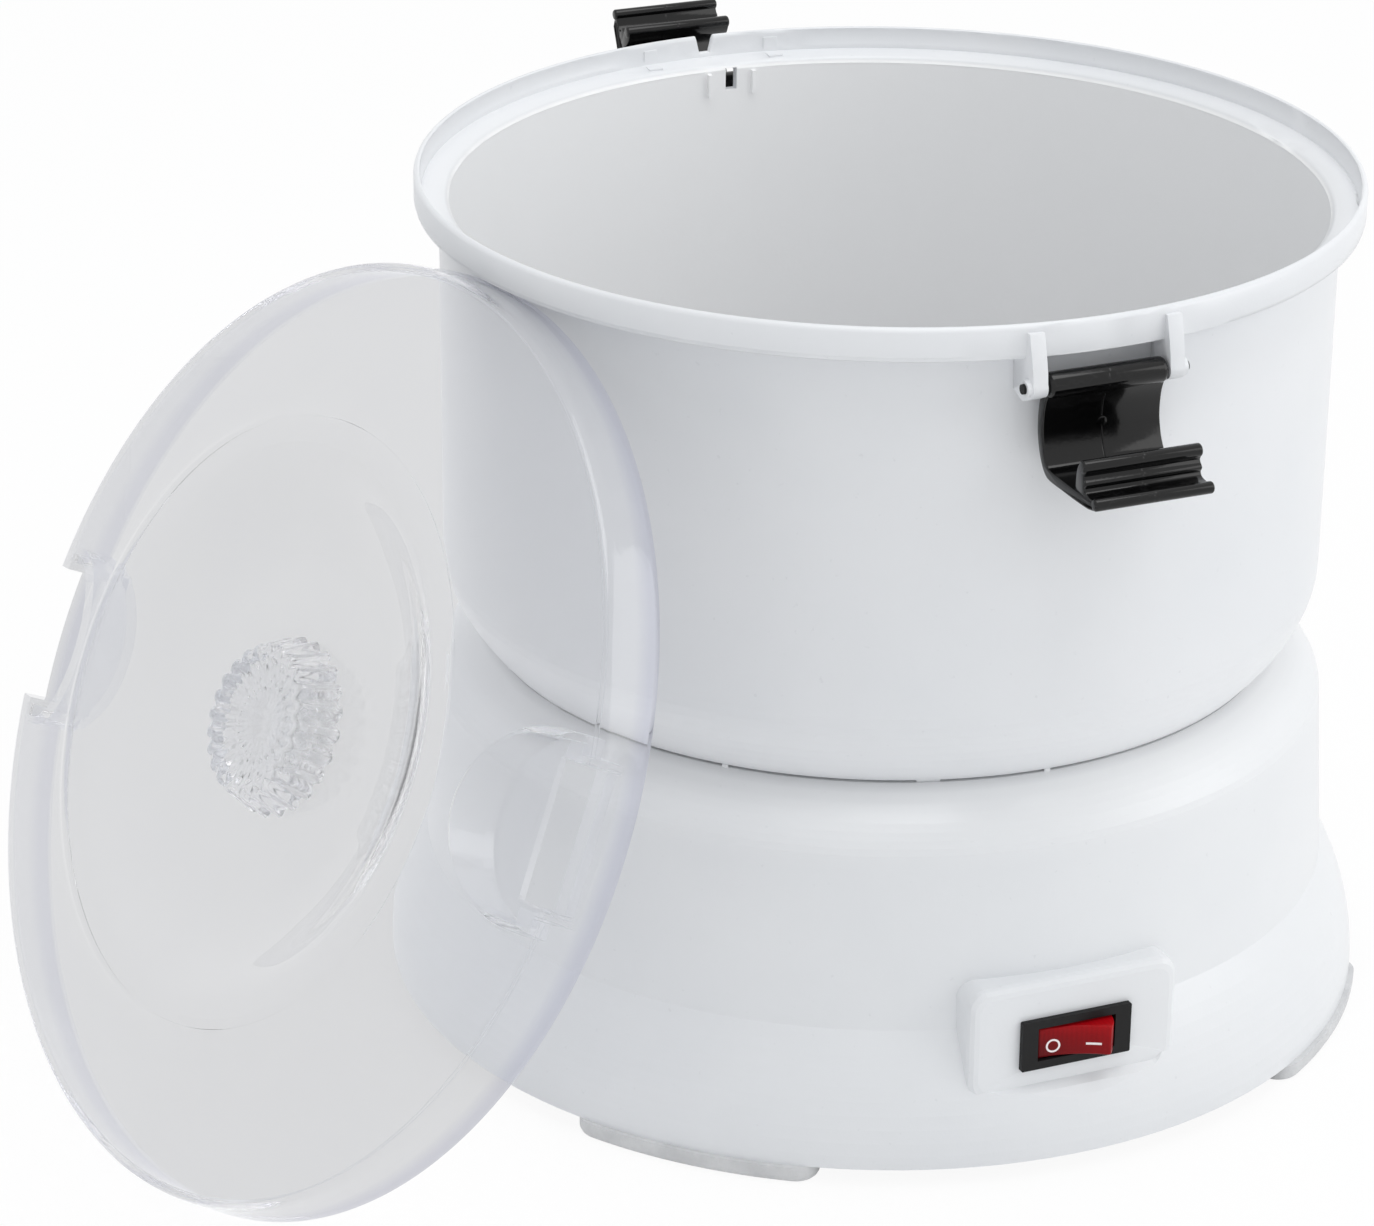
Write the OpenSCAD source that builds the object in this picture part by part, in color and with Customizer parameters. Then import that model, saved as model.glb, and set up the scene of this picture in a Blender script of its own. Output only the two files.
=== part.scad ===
// Electric potato peeler: motor base, lift-off bowl with a turning abrasive
// disc, two over-rim latches and a loose clear lid leaning on the bowl.
// Millimetres, +Z up, front (switch) towards -Y.
// Origin: centre of the base underside, on the drive axis.

/* [Base] */
// Radius of the base at its bottom edge
base_r = 135; // [131:0.5:140]
// Height of the flared skirt
skirt_h = 35; // [31:0.5:37]
// Radius of the wall just above the skirt
wall_low_r = 124; // [122:0.5:126]
// Radius of the wall at the shoulder
wall_high_r = 121; // [119:0.5:122]
// Height of the shoulder edge
shoulder_z = 83; // [81:0.5:85]
// Height of the base top, where the bowl begins
base_h = 97; // [96:0.5:100]
// Wall thickness of the base
base_wall = 2.6; // [2:0.1:3]
// Thickness of the top deck
deck_t = 3; // [2.5:0.1:3.5]
// Height of the rubber feet
foot_h = 5; // [4:0.5:7]
// Radial width of a foot
foot_w = 13; // [10:0.5:14]
// Length of a foot along its arc
foot_len = 66; // [50:1:72]
// Thickness of the bottom plate
plate_t = 2.4; // [2:0.1:3]
// Gap between the bottom plate and the base wall
plate_gap = 0.4; // [0.2:0.1:0.8]
// Radius of the flat middle of the bottom plate
plate_flat_r = 118; // [112:1:120]
// Depth of the plate's outer step
plate_step = 1.2; // [0.8:0.1:1.4]
// How far the bottom screws stand inside the shoulder
screw_inset = 11; // [9:0.5:13]
// Radius of the bottom screws' shanks
screw_r = 1.5; // [1.2:0.1:1.8]
// Radius of the bottom screws' heads
screw_head_r = 3.2; // [3:0.1:3.5]
// Radius of the screw columns
boss_r = 4.5; // [4:0.1:5]

/* [Switch] */
// Height of the switch centre
switch_z = 31.5; // [30.5:0.5:33]
// Sideways place of the switch and its pad
switch_x = -1.9; // [-4:0.1:4]
// Width of the switch bezel
bezel_w = 31; // [29:0.5:33]
// Height of the switch bezel
bezel_h = 14; // [13:0.5:15]
// How far the bezel stands out
bezel_t = 1.6; // [1.2:0.1:2]
// Width of the rocker opening
rock_w = 22; // [21:0.5:23]
// Height of the rocker opening
rock_h = 9.4; // [8.8:0.1:9.8]
// Depth of the switch body behind the pad
switch_d = 19; // [17:0.5:22]
// Distance of the switch pad's face from the axis
pad_y = 128.5; // [128:0.1:129]
// Width of the switch pad
pad_w = 59; // [56:1:62]
// Height of the pad's top edge
pad_top = 48.5; // [47:0.5:50]
// Height of the pad's bottom edge
pad_low = 17; // [16:0.5:18]
// Rounding of the pad's front edges
pad_round = 2.5; // [1.5:0.1:3]
// Clearance round the rocker
rock_gap = 0.3; // [0.2:0.05:0.4]
// Depth of the rocker's pivot behind the bezel face
rock_piv = 3; // [2.8:0.1:3.2]
// Radius of the rocker's ends about its pivot
rock_tip_r = 10.7; // [10.4:0.1:10.7]
// Turn of the rocker between off and on
rock_turn = 33.7; // [30:0.5:34]

/* [Cord gland] */
// Height of the cord gland
gland_z = 20; // [18:0.5:24]
// Radius of the cord passage
gland_bore_r = 3.2; // [2.8:0.1:3.6]
// Radius of the gland's barrel
gland_r = 5.9; // [5.5:0.1:6.5]
// Radius of the gland's outer flange
gland_flange_r = 9; // [8:0.5:10]

/* [Drive] */
// Height of the gear plate's underside
gear_plate_z = 52; // [50:0.5:53]
// Thickness of the gear plate
gear_plate_t = 2; // [1.6:0.1:2.5]
// Module of the first gear pair
mod1 = 1; // [1:0.01:1.02]
// Teeth of the motor pinion
z1 = 14;
// Teeth of the large idler gear
z2 = 56;
// Module of the second gear pair
mod2 = 1.25; // [1.2:0.01:1.28]
// Teeth of the small idler gear
z3 = 16;
// Teeth of the output gear
z4 = 56;
// Tooth play of each gear
play = 0.22; // [0.15:0.01:0.3]
// Width of the first gear pair
face1 = 7; // [6:0.5:7.5]
// Width of the second gear pair
face2 = 10; // [8:0.5:10.5]
// Radius of the output shaft
shaft_r = 5; // [4.5:0.1:5.5]
// Radius of the idler's fixed pin
pin_r = 3; // [2.5:0.1:3.5]
// Radius of the motor shaft
motor_shaft_r = 2.5; // [2:0.1:3]
// Running clearance of shafts in their bores
run = 0.05; // [0.03:0.01:0.08]
// Radius of the motor can
can_r = 28; // [26:0.5:29]
// Length of the motor can
can_h = 42; // [38:0.5:43]
// Wall of the motor can
can_t = 1.5; // [1:0.1:2]
// Turn of the motor about the idler, from the idler line
motor_dir = 60; // [50:1:70]
// Width across flats of the drive dog
dog_af = 14; // [13:0.5:15]
// Clearance of the disc's socket round the dog
dog_gap = 0.3; // [0.25:0.05:0.4]
// Outer radius of the bearing tube on the deck
spigot_r = 14; // [13:0.5:15]
// Height of the bearing tube above the deck
spigot_h = 11; // [10:0.5:11.5]

/* [Bowl] */
// Height of the gap between base and bowl
seam_gap = 1; // [0.6:0.1:1.4]
// Outer radius at the seam
seam_r = 107; // [106:0.5:108]
// Outer radius of the bowl wall
bowl_r = 118.5; // [117:0.5:120]
// Thickness of the bowl wall
bowl_wall = 2.7; // [2.2:0.1:3]
// Height where the lower curve meets the wall
bowl_curve_z = 120; // [118:0.5:124]
// Height of the rim
rim_z = 226; // [215:1:240]
// Width of the rim flange outside the wall
rim_w = 6.5; // [5.5:0.1:7.5]
// Height of the rim flange
rim_h = 9; // [8:0.5:10]
// Thickness of the rim's upstanding wall
rim_t = 1.8; // [1.5:0.1:2.2]
// Height of the lid's ledge above the rim's lower edge
ledge_h = 2.6; // [2.2:0.1:3]
// Height of the bowl floor's underside
floor_z = 104; // [103.5:0.5:105]
// Thickness of the bowl floor
floor_t = 3; // [2.5:0.1:3.5]
// Inner radius of the collar round the bearing tube
collar_r = 15.5; // [15.5:0.1:16.5]
// Wall of that collar
collar_t = 3; // [2.5:0.1:3.2]

/* [Disc] */
// Clearance between the disc and the bowl wall
disc_side = 3.8; // [3:0.1:12]
// Thickness of the abrasive disc
disc_t = 5; // [4:0.5:6]
// Gap between the disc and the collar under it
disc_gap = 0.4; // [0.3:0.1:0.8]
// Number of raised waves on the disc
waves = 3; // [2:1:4]
// Height of the waves
wave_h = 7; // [4:0.5:9]

/* [Latches] */
// Drop of the latch pivot below the rim
latch_drop = 15.5; // [15:0.1:16]
// How far the latch pivot stands outside the bowl wall
latch_out = 6.8; // [6.8:0.1:7.4]
// Width of a latch
latch_w = 32; // [30:0.5:36]
// Side play of a latch between its ears
latch_play = 0.5; // [0.3:0.1:0.8]
// Thickness of a latch
latch_t = 3; // [2.6:0.1:3.2]
// Length of a latch below its pivot
latch_len = 22; // [21.7:0.1:22.3]
// Thickness of an ear
ear_t = 4; // [3:0.5:5]
// Radius of the latch pins
lpin_r = 1.25; // [1:0.05:1.5]
// Rest angle of the raised rear latch
rear_angle = 62; // [0:1:90]

/* [Lid] */
// Gap between the lid's lower edge and the rim
lid_gap = 0.4; // [0.3:0.1:1.5]
// Height of the lid's skirt
lid_skirt = 16; // [15:0.5:18]
// Radius of the lid at the top of its skirt
lid_face_r = 120.3; // [119:0.1:121]
// Height of the ring on the dome
ring_h = 28.2; // [26:0.1:31]
// Outer radius of the ring on the dome
ring_out_r = 79.5; // [77:0.5:82]
// Inner radius of the ring on the dome
ring_in_r = 69; // [66:0.5:72]
// Height of the middle of the dish
dish_h = 15.5; // [14:0.1:18]
// Thickness of the lid
lid_t = 2; // [1.6:0.1:2.4]
// Half width of a finger well
well_r = 22.5; // [21:0.5:24]
// Distance of a well's inner end from the axis
well_in = 86; // [84:0.5:88]
// Height of a well's floor
well_h = 10.8; // [10:0.1:12]
// Height of the bar that a latch hooks over
bar_h = 7.2; // [6:0.1:7.4]
// Distance of the bar's inner edge from the axis
bar_r = 111.6; // [111.2:0.1:112]
// Base radius of the lid's knob
knob_r = 23.3; // [20:0.1:25]
// Top radius of the lid's knob
knob_top_r = 19; // [16:0.5:20]
// Height of the lid's knob
knob_h = 10.5; // [8:0.5:13]
// Flutes on the lid's knob
flutes = 24; // [12:1:30]
// Lean of the lid from the vertical
lean = 26.5; // [26:0.5:29]
// Direction in which the lid leans, from +X
lean_dir = 192.5; // [189:0.5:196]
// Turn of the lid's hook line from the horizontal
lid_turn = 8; // [0:1:20]
// Gap between the leaning lid and the bowl
lean_gap = 0.3; // [0.2:0.1:0.6]

/* [Hidden] */
$fn = 96;
e = 0.01;
cut = 1;
white = [0.9, 0.91, 0.92];
black = [0.05, 0.05, 0.055];
steel = [0.72, 0.73, 0.75];
clear = [0.85, 0.86, 0.9, 0.4];

// flared skirt: radius at height z
function skirt_r(z) =
  wall_low_r + (base_r - 0.5 - wall_low_r) * (1 - pow(z / skirt_h, 2.1));
// shoulder: radius at share v of its height
function shoulder_r(v) = seam_r + (wall_high_r - seam_r) * (1 - pow(v, 1.6));
function base_side(inset) = concat(
  [for (i = [0:9]) [skirt_r(skirt_h * i / 9.6) - inset, skirt_h * i / 9.6]],
  [[wall_low_r - inset, skirt_h]],
  [[wall_high_r - inset, shoulder_z]]);
deck_z = base_h - deck_t;
boss_top = (shoulder_z + base_h) / 2;
screw_ring_r = wall_high_r - screw_inset;
bottom_r = base_r - 0.5 - base_wall;
plate_r = bottom_r - plate_gap;
switch_y = -pad_y;
rock_half = rock_turn / 2;
rim_low = rim_z - rim_h;
pivot_z = rim_z - latch_drop;
bowl_bot = base_h + seam_gap;
bowl_in_r = bowl_r - bowl_wall;
rim_r = bowl_r + rim_w;
rim_in_r = rim_r - rim_t;
ledge_z = rim_low + ledge_h;
latch_y = bowl_r + latch_out;
disc_r = bowl_in_r - disc_side;
lid_r = rim_in_r - lid_gap;
ring_r = seam_r - 5.5;
spigot_top = base_h + spigot_h;
dog_top = spigot_top + 9.7;
dog_bot = spigot_top + 0.5;
collar_top = floor_z + 12.6;
disc_z = collar_top + disc_gap;
ear_in = latch_w / 2 + latch_play;
ear_out = ear_in + ear_t;
dist1 = mod1 * (z1 + z2) / 2;
dist2 = mod2 * (z3 + z4) / 2;
idler_at = [dist2, 0];
motor_at = [dist2 + dist1 * cos(motor_dir), dist1 * sin(motor_dir)];
gear1_z = gear_plate_z + gear_plate_t + 3;
gear2_z = gear1_z + face1 + 2;
can_z = gear_plate_z - can_h;
// plan of the gear plate, in shares of the second gear pair's distance
pillar_at = dist2 * [[-0.8, 0.8], [-0.8, -0.8], [1.867, -0.311], [0.667, 1.111]];
pillar_r = 4.5;
boss_at = [for (i = [0:5]) 60 * i];

module ring(ri, ro, z0, z1) {
  translate([0, 0, z0])
    difference() {
      cylinder(r = ro, h = z1 - z0);
      translate([0, 0, -cut]) cylinder(r = ri, h = z1 - z0 + 2 * cut);
    }
}
module rounded(w, h, r) {
  square([w - 2 * r, h], center = true);
  square([w, h - 2 * r], center = true);
  for (x = [-1, 1], y = [-1, 1])
    translate([x * (w / 2 - r), y * (h / 2 - r)]) circle(r = r, $fn = 32);
}
// plate standing in the XZ plane, from y0 towards -Y by t
module upright(y0, t) {
  translate([0, y0, 0]) rotate([90, 0, 0]) linear_extrude(t) children();
}

// ---------------------------------------------------------------- base
module base_solid() {
  rotate_extrude($fn = 180)
    polygon(concat(
      [[0, 0]], base_side(0),
      [for (i = [1:8]) [shoulder_r(i / 8), shoulder_z + (base_h - shoulder_z) * i / 8]],
      [[0, base_h]]));
}
module base_hollow() {
  rotate_extrude($fn = 180)
    polygon(concat(
      [[0, -cut], [bottom_r, -cut]], base_side(base_wall),
      [for (i = [1:7]) [shoulder_r(i / 8) - base_wall,
        shoulder_z + (deck_z - shoulder_z) * i / 8]],
      [[shoulder_r(1) - base_wall, deck_z], [0, deck_z]]));
}
module switch_pad(y_in, y_out, grow) {
  translate([switch_x, 0, (pad_top + pad_low) / 2])
    upright(-y_in, y_out - y_in)
      rounded(pad_w + 2 * grow, pad_top - pad_low + 2 * grow, 5 + grow);
}
// outline of the pad scaled about its middle, in a thin slice
module pad_slice(y, w, h, r) {
  translate([switch_x, 0, (pad_top + pad_low) / 2]) upright(-y, 0.05) rounded(w, h, r);
}
// the pad's block with its front edges rounded by pad_round
module soft_pad() {
  h = pad_top - pad_low;
  switch_pad(100, pad_y - pad_round, 0);
  hull()
    for (i = [0:3]) let (d = pad_round * (1 - cos(30 * i)))
      pad_slice(pad_y - pad_round + pad_round * sin(30 * i) - 0.05, pad_w - 2 * d, h - 2 * d, 5 - d / 2);
}
// the recess that lays the pad's face into the skirt, flared outwards
module pad_recess() {
  h = pad_top - pad_low;
  for (i = [0:3])
    hull() {
      pad_slice(pad_y + 0.05 + 2.4 * i, pad_w - 2 * pad_round + 1.1 * i * i, h - 2 * pad_round + 2.6 * i * i, 5);
      pad_slice(pad_y + 0.05 + 2.4 * (i + 1), pad_w - 2 * pad_round + 1.1 * pow(i + 1, 2), h - 2 * pad_round + 2.6 * pow(i + 1, 2), 5);
    }
}
module base_housing() {
  color(white)
  difference() {
    union() {
      difference() {
        union() {
          base_solid();
          soft_pad();
          // flat boss for the cord gland
          translate([0, wall_low_r - 12, gland_z])
            rotate([-90, 0, 0]) cylinder(r = 12, h = base_r - wall_low_r + 8);
        }
        difference() {
          base_hollow();
          difference() {
            switch_pad(pad_y - 2 * base_wall - 1, base_r, base_wall);
            switch_pad(90, pad_y - base_wall, -base_wall);
          }
        }
      }
      // screw columns with a web to the wall
      for (a = boss_at)
        rotate(a) {
          translate([screw_ring_r, 0, plate_t]) cylinder(r = boss_r, h = boss_top - plate_t + e, $fn = 48);
          translate([screw_ring_r, -1, plate_t]) cube([wall_high_r - base_wall - screw_ring_r + 0.8, 2, shoulder_z - plate_t - 6]);
        }
      // bearing tube through the deck
      translate([0, 0, deck_z - 8]) cylinder(r = spigot_r, h = spigot_top - deck_z + 8);
      // ring that centres and carries the bowl
      ring(ring_r - 3, ring_r, base_h - e, floor_z);
      // top bearing of the idler pin
      translate([idler_at[0], idler_at[1], deck_z - 14]) cylinder(r = 2 * pin_r, h = 14 + e, $fn = 48);
      // small seats under the bowl's lower edge
      for (i = [0:5])
        rotate(-107.7 + 60 * i)
          translate([seam_r - 4, -3, base_h - e]) cube([3.4, 6, seam_gap - 0.1]);
    }
    // pad face laid into the skirt
    pad_recess();
    // switch opening
    translate([switch_x, 0, switch_z]) upright(-90, 50) square([bezel_w - 3.4, bezel_h - 1.6], center = true);
    // spot face and opening of the gland
    translate([0, base_r - 4, gland_z]) rotate([-90, 0, 0]) cylinder(r = gland_flange_r + 1.5, h = 12);
    translate([0, 90, gland_z]) rotate([-90, 0, 0]) cylinder(r = gland_r + run, h = 60);
    // bearing tube bore and seal seat
    translate([0, 0, deck_z - 9]) cylinder(r = spigot_r - 5, h = 60);
    // pilot holes of the bottom screws
    for (a = boss_at)
      rotate(a) translate([screw_ring_r, 0, plate_t - cut]) cylinder(r = screw_r + run, h = 13 + cut, $fn = 32);
    // pin hole of the idler
    translate([idler_at[0], idler_at[1], deck_z - 15]) cylinder(r = pin_r + run, h = 12, $fn = 48);
    // bayonet notches in the centring ring
    for (i = [0:2])
      rotate(30 + 120 * i) {
        translate([ring_r - 4, -8, base_h + 0.6]) cube([5, 16, 12]);
        rotate(-8) translate([ring_r - 1.6, -9, base_h + 0.6]) cube([5, 12, 3.4]);
      }
  }
}
module base_plate() {
  color(black)
  difference() {
    union() {
      translate([0, 0, plate_step - e]) cylinder(r = plate_r, h = plate_t - plate_step + e, $fn = 180);
      cylinder(r = plate_flat_r, h = plate_step, $fn = 180);
      ring(plate_flat_r - 12, plate_flat_r - 10, plate_t - e, plate_t + 2);
    }
    for (a = boss_at)
      rotate(a) {
        translate([screw_ring_r, 0, -cut]) cylinder(r = screw_r + 0.3, h = 9, $fn = 32);
        translate([screw_ring_r, 0, -cut]) cylinder(r = screw_head_r + 0.4, h = cut + 1.3, $fn = 32);
        translate([screw_ring_r, 0, plate_t]) cylinder(r = boss_r + 0.4, h = 9, $fn = 32);
      }
    // vent slots under the motor
    for (i = [-4:4])
      translate([motor_at[0] + 6 * i, motor_at[1], -cut])
        linear_extrude(9) {
          square([2.4, 30], center = true);
          for (s = [-1, 1]) translate([0, 15 * s]) circle(r = 1.2, $fn = 24);
        }
  }
}
module foot(a) {
  half = foot_len / (base_r - foot_w / 2) / PI * 90 - foot_w / 2 / base_r * 57.3;
  color([0.8, 0.81, 0.82])
  rotate(a) {
    rotate([0, 0, -half])
      rotate_extrude(angle = 2 * half, $fn = 180)
        translate([base_r - foot_w / 2 + 0.9, 0]) foot_side(false);
    for (s = [-1, 1])
      rotate(s * half) translate([base_r - foot_w / 2 + 0.9, 0, 0])
        rotate_extrude($fn = 48) foot_side(true);
  }
}
module foot_side(half_only) {
  h = foot_w / 2;
  difference() {
    polygon([for (i = [0:5]) [-h + 1.5 - 1.5 * sin(18 * i), -foot_h + 1.5 - 1.5 * cos(18 * i)],
      [-h, 0], [h, 0],
      for (i = [0:5]) [h - 2.5 + 2.5 * cos(18 * i), -foot_h + 2.5 - 2.5 * sin(18 * i)]]);
    if (half_only) translate([-20, -10]) square([20, 20]);
  }
}
module foot_front_left() { foot(225); }
module foot_front_right() { foot(315); }
module foot_rear_left() { foot(135); }
module foot_rear_right() { foot(45); }
module screw(r, rh, hh, len) {
  difference() {
    union() {
      cylinder(r = rh, h = hh, $fn = 32);
      translate([0, 0, hh - e]) cylinder(r = r, h = len + e, $fn = 32);
    }
    for (a = [0, 90]) rotate(a) translate([-rh * 0.55, -0.35, -cut]) cube([rh * 1.1, 0.7, cut + 0.6]);
  }
}
module plate_screws() {
  color(steel)
  for (a = boss_at)
    rotate(a) translate([screw_ring_r, 0, 0.1]) screw(screw_r, screw_head_r, 1.2, 11);
}

// -------------------------------------------------------------- switch
module switch_housing() {
  color(black)
  difference() {
    translate([switch_x, 0, switch_z]) {
      upright(switch_y, bezel_t) rounded(bezel_w, bezel_h, 0.4);
      upright(switch_y + switch_d, switch_d + e) square([bezel_w - 4, bezel_h - 2.2], center = true);
    }
    translate([switch_x, 0, switch_z]) upright(switch_y - bezel_t + 10.5, 20) square([rock_w, rock_h], center = true);
    // pivot holes of the rocker
    translate([switch_x, switch_y - bezel_t + rock_piv, switch_z - rock_h / 2 - 0.8])
      cylinder(r = 1.2 + run, h = rock_h + 1.6, $fn = 32);
  }
}
module switch_rocker() {
  t = 28.4;
  color([0.75, 0.05, 0.04])
  translate([switch_x, switch_y - bezel_t + rock_piv, switch_z])
  rotate(-rock_half) {
    translate([0, 0, -rock_h / 2 + rock_gap])
      linear_extrude(rock_h - 2 * rock_gap)
        polygon(concat(
          [for (i = [0:4]) rock_tip_r * [cos(t - (t + 15) * i / 4), -sin(t - (t + 15) * i / 4)]],
          [for (i = [4:-1:0]) rock_tip_r * [-cos(t - (t + 15) * i / 4), -sin(t - (t + 15) * i / 4)]],
          [for (i = [1:7]) let (x = -rock_tip_r * cos(t) * (1 - i / 4))
            [x, -rock_tip_r * sin(t) + 1.5 * (1 - pow(x / rock_tip_r / cos(t), 2))]]));
    translate([0, 0, -rock_h / 2 - 0.5]) cylinder(r = 1.2, h = rock_h + 1, $fn = 32);
  }
}
module switch_terminals() {
  color([0.8, 0.7, 0.4])
  for (x = [-8, 0, 8])
    translate([switch_x + x - 0.4, switch_y + switch_d, switch_z - 2.4]) cube([0.8, 8, 4.8]);
}

// ---------------------------------------------------------------- gland
module cord_gland() {
  face_y = base_r - 4 + 0.02;
  color(black)
  translate([0, 0, gland_z])
  rotate([-90, 0, 0])
  difference() {
    union() {
      translate([0, 0, face_y - 9]) cylinder(r = gland_r, h = 9 + e, $fn = 64);
      translate([0, 0, face_y]) cylinder(r = gland_flange_r, h = 2.5, $fn = 64);
    }
    translate([0, 0, face_y - 10]) cylinder(r = gland_bore_r, h = 20, $fn = 48);
  }
}

// ---------------------------------------------------------------- motor
module at_motor() { translate([motor_at[0], motor_at[1], 0]) children(); }
module motor_can() {
  color(steel)
  at_motor()
  difference() {
    translate([0, 0, can_z]) cylinder(r = can_r, h = can_h);
    translate([0, 0, can_z - cut]) cylinder(r = can_r - can_t, h = can_h + cut - 3);
    translate([0, 0, can_z]) cylinder(r = motor_shaft_r + run, h = can_h + cut, $fn = 48);
    for (x = [-1, 1]) translate([12 * x, 0, can_z + can_h - 4]) cylinder(r = screw_r + run, h = 9, $fn = 32);
    for (a = [0:45:315]) rotate(a + 20) translate([can_r - 4, -3, can_z + 8]) cube([8, 6, 8]);
  }
}
module motor_end_cap() {
  color([0.3, 0.3, 0.32])
  at_motor()
  difference() {
    union() {
      translate([0, 0, can_z - 2.5]) cylinder(r = can_r, h = 2.5);
      translate([0, 0, can_z - e]) cylinder(r = can_r - can_t - run, h = 3);
      translate([0, 0, can_z - 5]) cylinder(r = 7, h = 4, $fn = 48);
    }
    translate([0, 0, can_z - 4]) cylinder(r = motor_shaft_r + run, h = 12, $fn = 48);
    for (x = [-1, 1]) translate([15 * x - 0.5, -3.2, can_z - 9]) cube([1, 6.4, 14]);
  }
}
module motor_terminals() {
  color([0.8, 0.7, 0.4])
  at_motor()
  for (x = [-1, 1]) translate([15 * x - 0.4, -3, can_z - 7]) cube([0.8, 6, 9]);
}
module motor_screws() {
  color(steel)
  at_motor()
  for (x = [-1, 1])
    translate([12 * x, 0, gear_plate_z + gear_plate_t + 2])
      rotate([180, 0, 0]) screw(screw_r, 2.8, 2, gear_plate_t + 2.6);
}
module motor_shaft() {
  color(steel)
  at_motor() translate([0, 0, can_z - 3.9]) cylinder(r = motor_shaft_r, h = gear1_z + face1 + 1.5 - can_z + 3.9, $fn = 48);
}
module motor_core() {
  color([0.6, 0.35, 0.2])
  at_motor()
  difference() {
    union() {
      translate([0, 0, can_z + 9]) cylinder(r = can_r - 9, h = can_h - 20);
      translate([0, 0, can_z + 5]) cylinder(r = can_r - 16, h = can_h - 10);
    }
    translate([0, 0, can_z]) cylinder(r = motor_shaft_r, h = can_h, $fn = 48);
  }
}

// ---------------------------------------------------------------- gears
function inv(a) = tan(a) * 180 / PI - a;
// half angle of a tooth at radius r
function tooth(m, z, r) =
  (90 - play / m * 90 / PI * 2) / z + inv(20) - inv(acos(min(1, m * z / 2 * cos(20) / r)));
module gear(m, z, h) {
  rb = m * z / 2 * cos(20);
  rf = m * (z / 2 - 1.25);
  ra = m * (z / 2 + 0.95);
  r0 = max(rb, rf) + e;
  rs = [for (i = [0:3]) r0 + (ra - r0) * i / 3];
  linear_extrude(h)
    polygon([for (k = [0:z - 1]) each concat(
      [rf * [cos(360 / z * (k - 0.5)), sin(360 / z * (k - 0.5))]],
      [let (a = 360 / z * k - tooth(m, z, r0)) rf * [cos(a), sin(a)]],
      [for (r = rs) let (a = 360 / z * k - tooth(m, z, r)) r * [cos(a), sin(a)]],
      [for (i = [3:-1:0]) let (r = rs[i], a = 360 / z * k + tooth(m, z, r)) r * [cos(a), sin(a)]],
      [let (a = 360 / z * k + tooth(m, z, r0)) rf * [cos(a), sin(a)]])]);
}
module motor_pinion() {
  color([0.85, 0.75, 0.4])
  at_motor()
  difference() {
    translate([0, 0, gear1_z]) rotate(motor_dir + 180 + 180 / z1) gear(mod1, z1, face1 + 1);
    translate([0, 0, gear1_z - cut]) cylinder(r = motor_shaft_r, h = face1 + 3, $fn = 48);
  }
}
module idler_gear() {
  color([0.92, 0.9, 0.8])
  translate([idler_at[0], idler_at[1], 0])
  difference() {
    union() {
      difference() {
        translate([0, 0, gear1_z]) rotate(motor_dir) gear(mod1, z2, face1);
        for (s = [gear1_z - cut, gear1_z + face1 - 1.5]) translate([0, 0, s]) ring(12, mod1 * z2 / 2 - 5, 0, cut + 1.5);
      }
      translate([0, 0, gear1_z + face1 - e]) rotate(180 + 180 / z3) gear(mod2, z3, face2 + 3);
    }
    translate([0, 0, gear1_z - cut]) cylinder(r = pin_r + run, h = 40, $fn = 48);
  }
}
module output_gear() {
  color([0.92, 0.9, 0.8])
  difference() {
    union() {
      difference() {
        translate([0, 0, gear2_z]) gear(mod2, z4, face2);
        for (s = [gear2_z - cut, gear2_z + face2 - 2.5])
          translate([0, 0, s]) ring(13, mod2 * z4 / 2 - 5, 0, cut + 2.5);
      }
      translate([0, 0, gear2_z - 1.5]) cylinder(r = 12, h = face2 + 5);
    }
    translate([0, 0, gear2_z - 9]) cylinder(r = shaft_r, h = 40);
  }
}
module idler_pin() {
  color(steel)
  translate([idler_at[0], idler_at[1], gear_plate_z]) cylinder(r = pin_r, h = deck_z - 4 - gear_plate_z, $fn = 48);
}
module gear_plate() {
  color(steel)
  difference() {
    translate([0, 0, gear_plate_z]) linear_extrude(gear_plate_t)
      difference() {
        translate(dist2 * [0.556, 0.2]) rounded(dist2 * 3.067, dist2 * 2.356, 8);
        translate(dist2 * [-0.978, 1.378]) rotate(45) square(dist2 * [0.58, 0.58], center = true);
      }
    for (p = pillar_at) translate([p[0], p[1], gear_plate_z - cut]) cylinder(r = screw_r + 0.3, h = 9, $fn = 32);
    translate([0, 0, gear_plate_z - cut]) cylinder(r = shaft_r + 3, h = 9);
    translate([idler_at[0], idler_at[1], gear_plate_z - cut]) cylinder(r = pin_r, h = 9, $fn = 48);
    at_motor() {
      translate([0, 0, gear_plate_z - cut]) cylinder(r = motor_shaft_r + 3, h = 9, $fn = 48);
      for (x = [-1, 1]) translate([12 * x, 0, gear_plate_z - cut]) cylinder(r = screw_r + 0.3, h = 9, $fn = 32);
    }
  }
}
module gear_pillars() {
  color(white)
  for (p = pillar_at)
    translate([p[0], p[1], 0])
    difference() {
      translate([0, 0, gear_plate_z + gear_plate_t]) cylinder(r = pillar_r, h = deck_z - gear_plate_z - gear_plate_t, $fn = 48);
      translate([0, 0, gear_plate_z]) cylinder(r = screw_r + run, h = 16, $fn = 32);
    }
}
module gear_plate_screws() {
  color(steel)
  for (p = pillar_at)
    translate([p[0], p[1], gear_plate_z - 2]) screw(screw_r, 3, 2, gear_plate_t + 9);
}
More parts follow.
